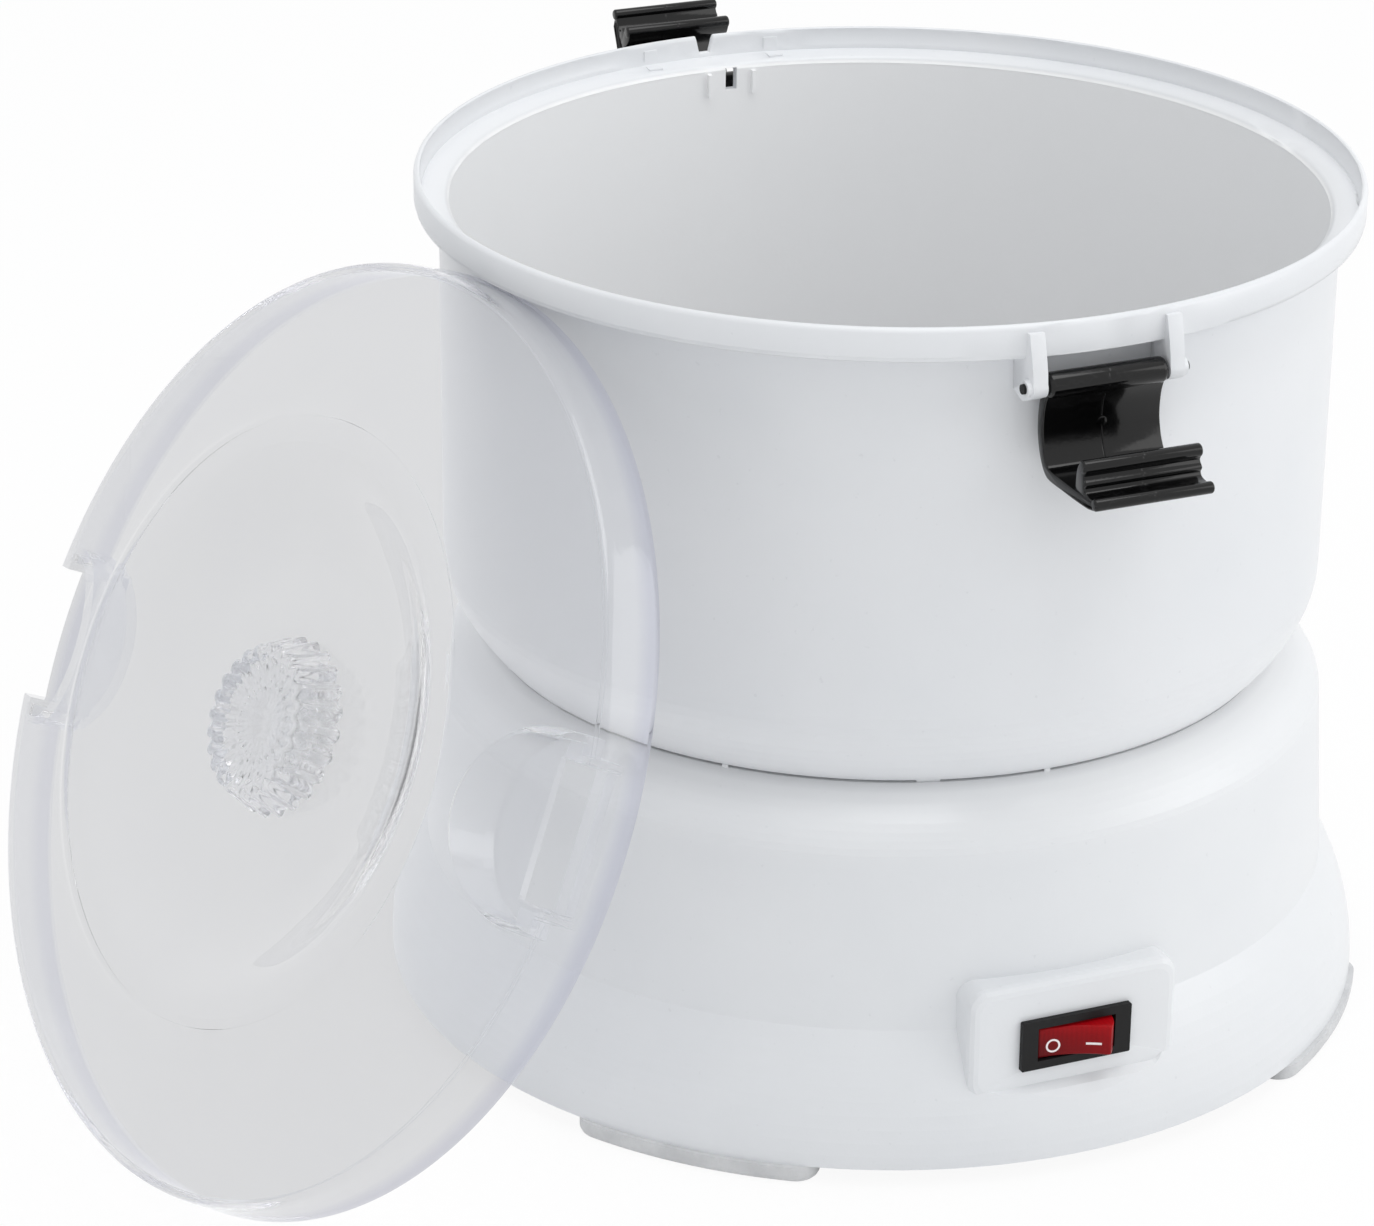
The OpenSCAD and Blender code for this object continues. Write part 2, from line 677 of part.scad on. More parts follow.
module lower_bush() {
  color([0.7, 0.5, 0.3])
  difference() {
    union() {
      translate([0, 0, gear_plate_z - 4]) cylinder(r = shaft_r + 3 - run, h = gear_plate_t + 5.5);
      translate([0, 0, gear_plate_z - 4]) cylinder(r = shaft_r + 5, h = 4);
    }
    translate([0, 0, gear_plate_z - 2.5]) cylinder(r = shaft_r + run, h = 20);
  }
}
module upper_bush() {
  color([0.7, 0.5, 0.3])
  ring(shaft_r + run, spigot_r - 5 - run, deck_z - 8, spigot_top - 4);
}
module shaft_seal() {
  color(black)
  ring(shaft_r + 0.2, spigot_r - 5 - run, spigot_top - 4, spigot_top - 0.6);
}
module output_shaft() {
  color(steel)
  translate([0, 0, gear_plate_z - 2.4]) cylinder(r = shaft_r, h = dog_bot + 4 - gear_plate_z + 2.4);
}
module drive_dog() {
  color(black)
  difference() {
    translate([0, 0, dog_bot]) cylinder(r = dog_af / sqrt(3), h = dog_top - dog_bot, $fn = 6);
    translate([0, 0, dog_bot - cut]) cylinder(r = shaft_r, h = 4 + cut);
  }
}

// ----------------------------------------------------------------- bowl
function lower_curve(inset) = [for (i = [0:8]) let (v = i / 8)
  [seam_r + 0.6 + (bowl_r - seam_r - 0.6) * (1 - pow(1 - v, 1.85)) - inset,
   bowl_bot + (bowl_curve_z - bowl_bot) * v]];
module bowl_profile() {
  polygon(concat(
    [[ring_r + 0.9, bowl_bot]],
    lower_curve(0),
    [[bowl_r, rim_low], [bowl_in_r, rim_low], [bowl_in_r, bowl_curve_z]],
    [for (i = [4:-1:1]) [bowl_in_r - 7 + 7 * sin(22.5 * i), bowl_curve_z - 6 + 6 - (bowl_curve_z - floor_z - floor_t) * cos(22.5 * i)]],
    [[bowl_in_r - 8, floor_z + floor_t], [collar_r, floor_z + floor_t],
     [collar_r, floor_z], [ring_r + 0.9, floor_z]]));
}
// ring bonded on top of the wall, with the ledge that the lid sits on
module rim_profile() {
  polygon([[bowl_in_r, rim_low], [rim_r - 1.2, rim_low], [rim_r - 0.3, rim_low + 0.5],
    [rim_r, rim_low + 1.6], [rim_r, rim_z - 1.2], [rim_r - 0.3, rim_z - 0.4], [rim_r - 0.8, rim_z],
    [rim_in_r + 0.6, rim_z], [rim_in_r + 0.2, rim_z - 0.3], [rim_in_r, rim_z - 1],
    [rim_in_r, ledge_z + 1.8], [rim_in_r - 0.3, ledge_z + 0.8], [rim_in_r - 1.2, ledge_z + 0.2],
    [bowl_in_r + 1.6, ledge_z - 0.4], [bowl_in_r + 0.4, ledge_z - 1.1], [bowl_in_r, ledge_z - 1.9]]);
}
module ears(s) {
  for (x = [-1, 1]) {
    translate([x > 0 ? ear_in : -ear_out, 0, 0])
      rotate([90, 0, 90])
        linear_extrude(ear_t)
          ear_side(s);
    // boss round the pin's end
    translate([x * (ear_out - e), s * latch_y, pivot_z]) rotate([0, x * 90, 0]) cylinder(r = 2.2, h = 1.2, $fn = 32);
  }
}
// side of an ear, flowing out of the rim and round the pin
module ear_side(s) {
  r = 2.7;
  polygon([for (p = concat(
    [[bowl_r - 1.5, rim_z - 2], [bowl_r - 1.5, pivot_z - 3],
     [latch_y - 3.4, pivot_z - 4.4], [latch_y - 1.2, pivot_z - 3.6]],
    [for (i = [0:6]) [latch_y, pivot_z] + r * [cos(-75 + 17.5 * i), sin(-75 + 17.5 * i)]],
    [[latch_y + 2.1, pivot_z + 4], [rim_r + 1.2, rim_low + 2.5], [rim_r - 0.2, rim_z - 2]])) [s * p[0], p[1]]]);
}
// rear notch of the rim and the slot below it
module rear_cuts() {
  translate([-1.2, bowl_r + 14, rim_z]) rotate([90, 0, 0])
    linear_extrude(16) polygon([[-2.8, cut], [-2.8, 0], [-1.6, -5], [1.6, -5], [2.8, 0], [2.8, cut]]);
  translate([2.3, bowl_in_r - 4, rim_z - 14.3]) cube([3.4, 18, 6.4]);
}
module bowl() {
  color(white)
  difference() {
    union() {
      rotate_extrude($fn = 180) bowl_profile();
      // collar round the bearing tube
      ring(collar_r, collar_r + collar_t, floor_z, collar_top);
      // bayonet lugs
      for (i = [0:2])
        rotate(30 + 120 * i)
          intersection() {
            ring(ring_r - 2.4, ring_r + 2, bowl_bot + 0.4, bowl_bot + 3);
            translate([80, -6, bowl_bot]) cube([40, 12, 6]);
          }
      // ribs of the lid sensor pocket
      for (x = [-3.4, 10])
        translate([x, bowl_in_r - 1.6, rim_low - 6.6]) cube([1.1, 2.4, 6.6]);
    }
    rear_cuts();
  }
}
module bowl_rim() {
  color(white)
  difference() {
    union() {
      rotate_extrude($fn = 180) rim_profile();
      ears(-1);
      ears(1);
    }
    // stay clear of the lid's seat and of the wall below
    translate([0, 0, ledge_z + 0.3]) cylinder(r = rim_in_r - 0.3, h = 20, $fn = 180);
    translate([0, 0, rim_low - 40]) cylinder(r = bowl_r + 0.02, h = 40, $fn = 180);
    // pin holes of the latches
    for (s = [-1, 1])
      translate([-40, s * latch_y, pivot_z]) rotate([0, 90, 0]) cylinder(r = lpin_r + run, h = 80, $fn = 32);
    rear_cuts();
  }
}

// ----------------------------------------------------------------- disc
module disc_hub() {
  color(black)
  difference() {
    union() {
      translate([0, 0, disc_z]) cylinder(r = collar_r + collar_t + 4.5, h = disc_t);
      ring(collar_r + collar_t + 0.8, collar_r + collar_t + 4.5, floor_z + floor_t + 1.5, disc_z + e);
      translate([0, 0, spigot_top + 1]) cylinder(r = 11.5, h = disc_z - spigot_top - 1 + e);
    }
    translate([0, 0, spigot_top]) cylinder(r = (dog_af + 2 * dog_gap) / sqrt(3), h = dog_top + 0.3 - spigot_top, $fn = 6);
  }
}
module abrasive_disc() {
  hub = collar_r + collar_t + 4.5;
  color([0.55, 0.56, 0.58])
  difference() {
    union() {
      translate([0, 0, disc_z]) cylinder(r = disc_r, h = disc_t, $fn = 180);
      intersection() {
        for (i = [0:waves - 1])
          rotate(360 / waves * i + 90)
            translate([hub + 1, 0, disc_z + disc_t + wave_h - 24])
              rotate([0, 90, 0]) cylinder(r = 24, h = disc_r);
        translate([0, 0, disc_z + disc_t - e]) cylinder(r = disc_r - 4, h = 30, $fn = 180);
      }
    }
    translate([0, 0, disc_z - cut]) cylinder(r = hub + run, h = 30);
  }
}
module disc_cap() {
  top = disc_z + disc_t;
  color(white)
  intersection() {
    translate([0, 0, top + 8 - 40]) sphere(r = 40);
    translate([0, 0, top]) cylinder(r = 20, h = 20);
  }
}

// -------------------------------------------------------------- latches
// side of a latch hanging from its pivot: [outwards, up]
L = latch_len;
latch_in = [[0, -1], [-1.6, -5], [-2.2, -9], [-2.1, -13], [-1, 5 - L], [0.1, 2.8 - L], [1.4, 1.1 - L],
  [3.2, 0.1 - L], [10, -L], [18, 0.1 - L], [25, 0.3 - L]];
function dir(p, i) = let (a = p[max(0, i - 1)], b = p[min(len(p) - 1, i + 1)]) (b - a) / norm(b - a);
function side(p, d) = [for (i = [0:len(p) - 1]) p[i] + d * [-dir(p, i)[1], dir(p, i)[0]]];
function flip(p) = [for (i = [len(p) - 1:-1:0]) p[i]];
module latch_plate() {
  polygon(concat(side(latch_in, latch_t / 2), flip(side(latch_in, -latch_t / 2))));
}
// end wall with its finger groove
module latch_wall() {
  polygon([for (p = [[16.6, 0.5], [16.7, 4.5], [17, 6.2], [17.6, 7.8], [18.4, 9], [19.4, 9.8], [21.4, 9.8],
    [21.6, 7.6], [21.2, 6], [22.3, 5.1], [22.4, 4.4], [21.7, 3.4], [22.6, 2.4], [24.6, 2.3], [27.3, 2.6],
    [28.6, 1.5], [27.4, -0.2], [20, -0.8]]) p - [0, L]]);
}
module latch_rod(o, z, r) {
  translate([o, z, 0]) cylinder(r = r, h = latch_w, $fn = 48);
}
module latch(s, a) {
  color(black)
  translate([0, s * latch_y, pivot_z])
  rotate([s * a, 0, 0])
  difference() {
    translate([-latch_w / 2, 0, 0])
      rotate([90, 0, 90])
        mirror([s < 0 ? 1 : 0, 0, 0]) {
          linear_extrude(latch_w) latch_plate();
          linear_extrude(latch_w) latch_wall();
          latch_rod(20.2, 8.7 - L, 1.7);
          latch_rod(27.2, 1.3 - L, 1.5);
          latch_rod(0, 0, 3.3);
        }
    translate([-40, 0, 0]) rotate([0, 90, 0]) cylinder(r = lpin_r + run, h = 80, $fn = 32);
  }
}
module latch_pin(s) {
  color(black)
  translate([-ear_out - 1.9, s * latch_y, pivot_z])
    rotate([0, 90, 0]) cylinder(r = lpin_r, h = 2 * ear_out + 3.8, $fn = 32);
}
module latch_front() { latch(-1, 0); }
module latch_rear() { latch(1, rear_angle); }
module latch_pin_front() { latch_pin(-1); }
module latch_pin_rear() { latch_pin(1); }

// ------------------------------------------------------------------ lid
// leaning place of the lid: its lower edge stands on the floor and its
// top edge rests against the bowl just under the rim
module leaning() {
  out = bowl_r + lean_gap + lid_r * sin(lean);
  rotate(lean_dir)
    translate([out, 0, lid_r * cos(lean) - foot_h])
      rotate([0, 90 - lean, 0])
        rotate(90 + lid_turn)
          children();
}
module lid_outer() {
  rotate_extrude($fn = 180)
    polygon(concat(
      [[0, 0], [lid_r, 0], [lid_r - 0.2, 2.5], [lid_face_r + 0.9, lid_skirt - 3.6],
       [lid_face_r + 0.4, lid_skirt - 1.6], [lid_face_r - 0.6, lid_skirt - 0.4], [lid_face_r - 2, lid_skirt],
       [ring_out_r + 1, ring_h - 1.2], [ring_out_r - 1, ring_h - 0.4], [ring_out_r - 2.4, ring_h],
       [ring_in_r + 2, ring_h], [ring_in_r + 0.7, ring_h - 0.4], [ring_in_r, ring_h - 1.4]],
      [for (i = [1:5]) [ring_in_r - (ring_in_r - 42.5) * i / 5, dish_h + 1 + (ring_h - 2.4 - dish_h) * pow(1 - i / 5, 1.5)]],
      [[41, dish_h + 0.3], [knob_r + 2, dish_h], [0, dish_h]]));
}
module lid_inner() {
  t = lid_t;
  rotate_extrude($fn = 180)
    polygon(concat(
      [[0, -cut], [lid_r - t, -cut], [lid_r - t - 0.2, 2.5], [lid_face_r + 0.9 - t, lid_skirt - 3.6],
       [lid_face_r - 0.3 - t, lid_skirt - 2.4], [lid_face_r - 2 - t / 2, lid_skirt - t],
       [ring_out_r + 0.5, ring_h - 1.2 - t], [ring_out_r - 2.4 - t / 4, ring_h - t],
       [ring_in_r + 2 + t / 4, ring_h - t], [ring_in_r + t * 0.8, ring_h - 1.4 - t]],
      [for (i = [1:5]) [ring_in_r + t * 0.5 - (ring_in_r - 42.5) * i / 5, dish_h + 1 - t + (ring_h - 2.4 - dish_h) * pow(1 - i / 5, 1.5)]],
      [[41, dish_h + 0.3 - t], [knob_r + 2, dish_h - t], [0, dish_h - t]]));
}
// finger well with its latch notch, grown by g on every side
module well(g) {
  translate([0, 0, well_h - g])
    linear_extrude(60) {
      translate([well_in + well_r, 0]) circle(r = well_r + g, $fn = 64);
      translate([well_in + well_r, -well_r - g]) square([bar_r - well_in - well_r + g, 2 * well_r + 2 * g]);
    }
  translate([bar_r - 4, -latch_w / 2 - 2 - g, bar_h - g]) cube([30, latch_w + 4 + 2 * g, 60]);
}
module lid_shape() {
  // lip under the inner edge of each hook bar
  for (a = [0, 180])
    rotate(a) translate([bar_r, -latch_w / 2 - 2, bar_h - 5]) cube([lid_t, latch_w + 4, 5 - lid_t / 2]);
  difference() {
    lid_outer();
    for (a = [0, 180]) rotate(a) well(0);
    difference() {
      lid_inner();
      for (a = [0, 180]) rotate(a) well(lid_t);
    }
    // slots that the latch hooks enter
    for (a = [0, 180])
      rotate(a) translate([bar_r - 9.6, -latch_w / 2 - 1.6, -cut]) cube([9.6, latch_w + 3.2, 30]);
  }
}
module lid() {
  color(clear)
  leaning() lid_shape();
}
module lid_knob() {
  n = flutes * 4;
  color(clear)
  leaning()
  translate([0, 0, dish_h])
  difference() {
    linear_extrude(knob_h, scale = knob_top_r / knob_r)
      polygon([for (i = [0:n - 1]) (knob_r - (i % 4 == 0 ? 1.3 : i % 4 == 2 ? 0 : 0.35)) * [cos(360 * i / n), sin(360 * i / n)]]);
    translate([0, 0, knob_h + 60 - 1.6]) sphere(r = 60, $fn = 64);
  }
}

base_housing();
base_plate();
foot_front_left();
foot_front_right();
foot_rear_left();
foot_rear_right();
plate_screws();
switch_housing();
switch_terminals();
switch_rocker();
cord_gland();
motor_can();
motor_end_cap();
motor_terminals();
motor_screws();
motor_shaft();
motor_core();
motor_pinion();
gear_plate();
gear_pillars();
gear_plate_screws();
idler_pin();
idler_gear();
lower_bush();
upper_bush();
shaft_seal();
output_shaft();
output_gear();
drive_dog();
bowl();
bowl_rim();
disc_hub();
abrasive_disc();
disc_cap();
latch_pin_front();
latch_pin_rear();
latch_front();
latch_rear();
lid();
lid_knob();
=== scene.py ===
# %% [markdown]
# # An electric potato peeler, dressed in Blender
# The peeler is a round motor base with a rocker switch, a lift-off bowl with a
# turning abrasive disc, two black over-rim latches and a clear lid that leans
# on its side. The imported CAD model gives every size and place. This script
# keeps what is right, models softer pieces over the rest and gives each
# surface a finish made of nodes.

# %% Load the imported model
import math

import bpy
from mathutils import Matrix, Vector


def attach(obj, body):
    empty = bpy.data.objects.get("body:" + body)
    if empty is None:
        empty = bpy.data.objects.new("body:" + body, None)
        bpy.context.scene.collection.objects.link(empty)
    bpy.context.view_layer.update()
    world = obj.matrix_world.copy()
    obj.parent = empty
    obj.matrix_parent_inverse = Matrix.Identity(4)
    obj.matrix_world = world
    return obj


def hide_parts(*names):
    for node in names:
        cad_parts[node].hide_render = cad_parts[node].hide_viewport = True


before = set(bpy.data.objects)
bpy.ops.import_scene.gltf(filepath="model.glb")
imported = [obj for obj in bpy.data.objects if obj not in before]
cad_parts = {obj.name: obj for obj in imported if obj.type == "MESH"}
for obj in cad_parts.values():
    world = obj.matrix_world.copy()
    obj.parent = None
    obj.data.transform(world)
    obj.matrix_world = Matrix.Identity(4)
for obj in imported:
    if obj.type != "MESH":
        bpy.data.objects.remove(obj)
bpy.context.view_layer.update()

mm = 0.001

# %% [markdown]
# ## The camera
# The picture was taken from above the worktop with a long lens, a little to
# the left of the switch. The place, tilt and focal length below come from
# fitting the circles of the rim, the shoulder and the skirt to the picture,
# so a correct model lands on the same pixels.

# %% Camera at the photograph's angle
turn, swing, nod, lean_over = math.radians(25.2), -0.0453155, -0.4180353, 0.0069656
distance, height_angle, focal_px = 1306.06 * mm, 0.4849544, 4603.285

stand = Vector((0, -distance * math.cos(height_angle), distance * math.sin(height_angle)))
ahead = Vector((math.sin(swing) * math.cos(nod), math.cos(swing) * math.cos(nod), math.sin(nod)))
side = ahead.cross(Vector((0, 0, 1))).normalized()
over = side.cross(ahead)
right = math.cos(lean_over) * side + math.sin(lean_over) * over
above = -math.sin(lean_over) * side + math.cos(lean_over) * over
to_model = Matrix.Rotation(-turn, 3, "Z")
axes = Matrix([to_model @ right, to_model @ above, to_model @ -ahead]).transposed().to_4x4()

lens_data = bpy.data.cameras.new("camera")
camera = bpy.data.objects.new("camera", lens_data)
bpy.context.scene.collection.objects.link(camera)
camera.matrix_world = Matrix.Translation(to_model @ stand) @ axes
lens_data.sensor_fit, lens_data.sensor_width = "HORIZONTAL", 36
lens_data.lens = 36 * focal_px / 1374
lens_data.clip_start, lens_data.clip_end = 0.05, 20
bpy.context.scene.camera = camera
print("camera at", [round(v, 3) for v in camera.location], "lens", round(lens_data.lens, 1))

# %% [markdown]
# ## Writing shader maths as sums
# A finish is easier to read as a formula than as a row of Math nodes. The
# class below wraps one number socket, so that 1 - mask or a * b adds the
# node for that sum. Colours and vectors go through Mix and Vector Math nodes.

# %% A number that grows Math nodes
class Number:
    def __init__(self, finish, socket):
        self.finish, self.socket = finish, socket

    def maths(self, operation, *others, first=None):
        values = [self if first is None else first, *others]
        return self.finish.node("ShaderNodeMath", {"operation": operation}, dict(enumerate(values)))

    def __add__(self, other): return self.maths("ADD", other)
    __radd__ = __add__
    def __mul__(self, other): return self.maths("MULTIPLY", other)
    __rmul__ = __mul__
    def __sub__(self, other): return self.maths("SUBTRACT", other)
    def __rsub__(self, other): return self.maths("SUBTRACT", self, first=other)
    def power(self, other): return self.maths("POWER", other)
    def abs(self): return self.maths("ABSOLUTE")
    def at_least(self, other): return self.maths("MAXIMUM", other)
    def at_most(self, other): return self.maths("MINIMUM", other)


class Finish:
    """One material: a Principled shader and what feeds it."""

    def __init__(self, name, **constants):
        self.material = bpy.data.materials.new(name)
        self.material.use_nodes = True
        self.tree = self.material.node_tree
        self.tree.nodes.clear()
        self.output = self.tree.nodes.new("ShaderNodeOutputMaterial")
        self.shader = self.tree.nodes.new("ShaderNodeBsdfPrincipled")
        self.tree.links.new(self.shader.outputs[0], self.output.inputs["Surface"])
        for socket, value in constants.items():
            self.shader.inputs[socket.replace("_", " ")].default_value = value
        place = self.tree.nodes.new("ShaderNodeTexCoord")
        self.place = place.outputs["Object"]

    def node(self, kind, settings=None, values=None, out=0):
        made = self.tree.nodes.new(kind)
        for key, value in (settings or {}).items():
            setattr(made, key, value)
        for key, value in (values or {}).items():
            self.feed(made.inputs[key], value)
        socket = made.outputs[out]
        return Number(self, socket) if socket.type == "VALUE" else socket

    def feed(self, socket, value):
        if isinstance(value, Number):
            value = value.socket
        if isinstance(value, bpy.types.NodeSocket):
            self.tree.links.new(value, socket)
        else:
            socket.default_value = value

    def set(self, **values):
        for key, value in values.items():
            self.feed(self.shader.inputs[key.replace("_", " ")], value)

    def part(self, axis):
        """One coordinate of the place on the piece, in metres."""
        return self.node("ShaderNodeSeparateXYZ", None, {0: self.place}, out=axis)

    def noise(self, scale, detail=2.0, rough=0.5, stretch=(1, 1, 1)):
        where = self.node("ShaderNodeMapping", None, {"Vector": self.place, "Scale": stretch})
        return self.node("ShaderNodeTexNoise", None,
                         {"Vector": where, "Scale": scale, "Detail": detail, "Roughness": rough})

    def from_axis(self, where):
        """Distance from the upright axis, in metres."""
        flat = self.node("ShaderNodeVectorMath", {"operation": "MULTIPLY"}, {0: where, 1: (1, 1, 0)})
        return self.node("ShaderNodeVectorMath", {"operation": "LENGTH"}, {0: flat}, out=1)

    def blend(self, share, low, high):
        """A colour that goes from low to high with share."""
        return self.node("ShaderNodeMix", {"data_type": "RGBA"}, {0: share, 6: low, 7: high}, out=2)

    def range(self, value, low, high, new_low=0.0, new_high=1.0):
        return self.node("ShaderNodeMapRange", None,
                         {0: value, 1: low, 2: high, 3: new_low, 4: new_high})

    def bump(self, height, strength, depth):
        return self.node("ShaderNodeBump", None,
                         {"Height": height, "Strength": strength, "Distance": depth}, out=0)


def rgb(r, g, b):
    return (r, g, b, 1)


print("shader helpers ready")

# %% [markdown]
# ## White moulded plastic
# The body is satin-glossy ABS, a cool white. Real mouldings are never one
# even tone: the white drifts a little over a hand's width, the gloss has
# faint flow marks that run round the wall and a fine orange-peel breaks up the
# reflections. A thin dark line of painted shade runs along the seam where bowl
# and base meet, between two bands painted paler as painted light. Inside, the
# bowl wall is painted paler as painted light, and it carries a faint sparkle
# of fine abrasive that shows only here and there. The three lengths are the
# bowl's inner radius and the heights of the edges on both sides of the seam.

# %% Finish: white plastic
BOWL_WALL, BASE_TOP, BOWL_FOOT = 0.1158, 0.0965, 0.0985


def white_plastic(name, low, high, seam_z=None, grit=False, painted_seam_light=0.0):
    fin = Finish(name, Specular_IOR_Level=0.5, Coat_Weight=0.12, Coat_Roughness=0.12)
    drift = fin.range(fin.noise(11, 3, 0.55), 0.35, 0.65)
    colour = fin.blend(drift, low, high)
    flow = fin.noise(26, 3, 0.6, (1, 1, 9))
    speck = fin.range(fin.noise(520, 2, 0.5), 0.71, 0.78)
    colour = fin.blend(speck * 0.16, colour, rgb(0.52, 0.53, 0.55))
    if seam_z is not None:
        away = (fin.part(2) - seam_z).abs()
        # painted light: within 18 mm of the seam the white is painted paler
        colour = fin.blend(fin.range(away, 0.0, 0.018, painted_seam_light, 0), colour, rgb(0.93, 0.935, 0.94))
        # painted shade: a thin dark line is painted right along the seam
        painted_seam_shade = fin.range(away, 0.0002, 0.0012, 1, 0)
        colour = fin.blend(painted_seam_shade * 0.14 * (0.6 + 0.8 * fin.noise(60)), colour, rgb(0.4, 0.41, 0.44))
    peel = fin.noise(1500, 2, 0.5) * 0.5 + fin.noise(240, 2, 0.5)
    rough = 0.27 + 0.09 * flow + 0.05 * drift
    if grit:
        grain = fin.node("ShaderNodeTexVoronoi", {"feature": "F1"}, {"Vector": fin.place, "Scale": 620})
        radius = fin.from_axis(fin.place)
        mask = fin.range(radius, BOWL_WALL, BOWL_WALL + 0.0008, 1, 0) * fin.range(fin.part(2), 0.19, 0.212, 1, 0)
        mask = mask * fin.range(fin.part(2), 0.122, 0.13, 0, 1) * fin.range(fin.noise(34, 3), 0.5, 0.62)
        peel = peel + mask * fin.range(grain, 0.0, 0.5, 0.9, 0)
        rough = rough + mask * 0.06
        colour = fin.blend(mask * fin.range(grain, 0.3, 0.66) * 0.22, colour, rgb(0.6, 0.61, 0.63))
        # painted light: the bowl's inner wall is painted paler
        painted_inner_light = fin.range(radius, BOWL_WALL + 0.0002, BOWL_WALL + 0.0008, 1, 0) * fin.range(fin.part(2), 0.117, 0.12)
        colour = fin.blend(painted_inner_light, colour, rgb(0.945, 0.95, 0.955))
    fin.set(Base_Color=colour, Roughness=rough, Normal=fin.bump(peel, 0.05, 0.0006))
    return fin.material


white_base = white_plastic("white_base", rgb(0.795, 0.81, 0.83), rgb(0.83, 0.842, 0.857),
                           seam_z=BASE_TOP, painted_seam_light=0.5)
white_bowl = white_plastic("white_bowl", rgb(0.795, 0.81, 0.832), rgb(0.832, 0.842, 0.86),
                           seam_z=BOWL_FOOT, grit=True, painted_seam_light=0.25)
white_small = white_plastic("white_small", rgb(0.8, 0.812, 0.83), rgb(0.835, 0.845, 0.86))
print("white finishes:", white_base.name, white_bowl.name, white_small.name)

# %% [markdown]
# ## Black plastics
# The latches are polished black, with thin swirls from handling and a
# slightly duller tone where fingers rub. The switch frame is the same resin
# with a fine satin grain. Both read as black because the colour is very dark
# and only the gloss shows their shape.

# %% Finish: black plastics
def black_plastic(name, tone, rough, grain, rub, shine, mould_line=False):
    fin = Finish(name, Specular_IOR_Level=shine)
    cloud = fin.range(fin.noise(70, 4, 0.6), 0.3, 0.7)
    colour = fin.blend(cloud, rgb(tone * 0.75, tone * 0.75, tone * 0.8),
                       rgb(tone * 1.35, tone * 1.35, tone * 1.4))
    swirl = fin.node("ShaderNodeTexWave", {"wave_type": "RINGS", "rings_direction": "SPHERICAL"},
                     {"Vector": fin.place, "Scale": 130, "Distortion": 9,
                      "Detail": 3, "Detail Scale": 2}, out=1)
    scratch = fin.range(swirl, 0.93, 1.0) * fin.range(fin.noise(45, 2), 0.5, 0.66)
    colour = fin.blend(scratch * 0.05, colour, rgb(0.11, 0.11, 0.115))
    height = fin.noise(grain, 3, 0.6) - scratch * 0.2
    if mould_line:
        height = height - 5 * fin.range(fin.part(0).abs(), 0.00012, 0.0004, 1, 0)
    fin.set(Base_Color=colour, Roughness=rough + rub * cloud + 0.12 * scratch,
            Normal=fin.bump(height, 0.1 if mould_line else 0.06, 0.0003))
    return fin.material


black_gloss = black_plastic("black_gloss", 0.003, 0.09, 300, 0.04, 0.36, mould_line=True)
black_satin = black_plastic("black_satin", 0.008, 0.42, 2600, 0.1, 0.22)
black_plate = black_plastic("black_plate", 0.016, 0.46, 3200, 0.12, 0.4)
print("black finishes:", black_gloss.name, black_satin.name, black_plate.name)

# %% [markdown]
# ## The red rocker and its marks
# The rocker is a clear red cap. Its red is painted brighter towards the right
# end and the top, as painted light, and a faint painted glow is added though no
# lamp lights it. Fine ribs show through its face, so the colour runs from dark
# wine to bright red over a few millimetres. The marks are white paint with
# slightly uneven cover.

# %% Finish: red cap and white paint
def red_cap():
    fin = Finish("red_cap", Specular_IOR_Level=0.12, Coat_Weight=0.05, Coat_Roughness=0.08, Coat_IOR=1.45,
                 Emission_Strength=1.0)
    ribs = fin.node("ShaderNodeTexWave", {"wave_type": "BANDS", "bands_direction": "X"},
                    {"Vector": fin.place, "Scale": 260, "Distortion": 0.6, "Detail": 1}, out=1)
    # painted light: the red is painted brighter towards the right end (along) and the top (depth)
    along = fin.range(fin.part(0), -0.0115, 0.0085)
    depth = fin.range(fin.part(2), 0.0275, 0.0358)
    cloud = fin.noise(160, 3, 0.6)
    share = along * 0.35 + depth.power(2.5) * 0.4 + 0.16 * cloud + 0.12 * ribs * depth
    colour = fin.blend(share, rgb(0.09, 0.002, 0.004), rgb(0.42, 0.003, 0.006))
    # painted glow: emission, though no lamp lights the cap
    glow = fin.blend(share, rgb(0.008, 0.0, 0.0), rgb(0.05, 0.0, 0.001))
    fin.set(Base_Color=colour, Emission_Color=glow, Roughness=0.24 + 0.12 * cloud,
            Normal=fin.bump(ribs * 0.4 + cloud, 0.05, 0.0003))
    return fin.material


def mark_paint():
    fin = Finish("mark_paint", Specular_IOR_Level=0.4)
    wear = fin.range(fin.noise(2400, 3, 0.7), 0.62, 0.8)
    fin.set(Base_Color=fin.blend(wear, rgb(0.93, 0.86, 0.86), rgb(0.8, 0.55, 0.55)),
            Roughness=0.42 + 0.2 * wear, Normal=fin.bump(wear, 0.1, 0.0001))
    return fin.material


cap_red, paint_white = red_cap(), mark_paint()
print("switch finishes:", cap_red.name, paint_white.name)

# %% [markdown]
# ## Rubber
# The feet are milky grey silicone, matt, with a faint mottling and dust on
# the underside. The shaft seal and the cord gland are ordinary black rubber.

# %% Finish: rubber
def rubber(name, low, high, rough):
    fin = Finish(name, Specular_IOR_Level=0.4)
    cloud = fin.range(fin.noise(90, 4, 0.6), 0.3, 0.7)
    dust = fin.range(fin.noise(900, 3, 0.7), 0.55, 0.75)
    fin.set(Base_Color=fin.blend(dust * 0.25, fin.blend(cloud, low, high), rgb(0.55, 0.54, 0.52)),
            Roughness=rough + 0.12 * cloud, Normal=fin.bump(fin.noise(1400, 3, 0.6), 0.12, 0.0005))
    return fin.material


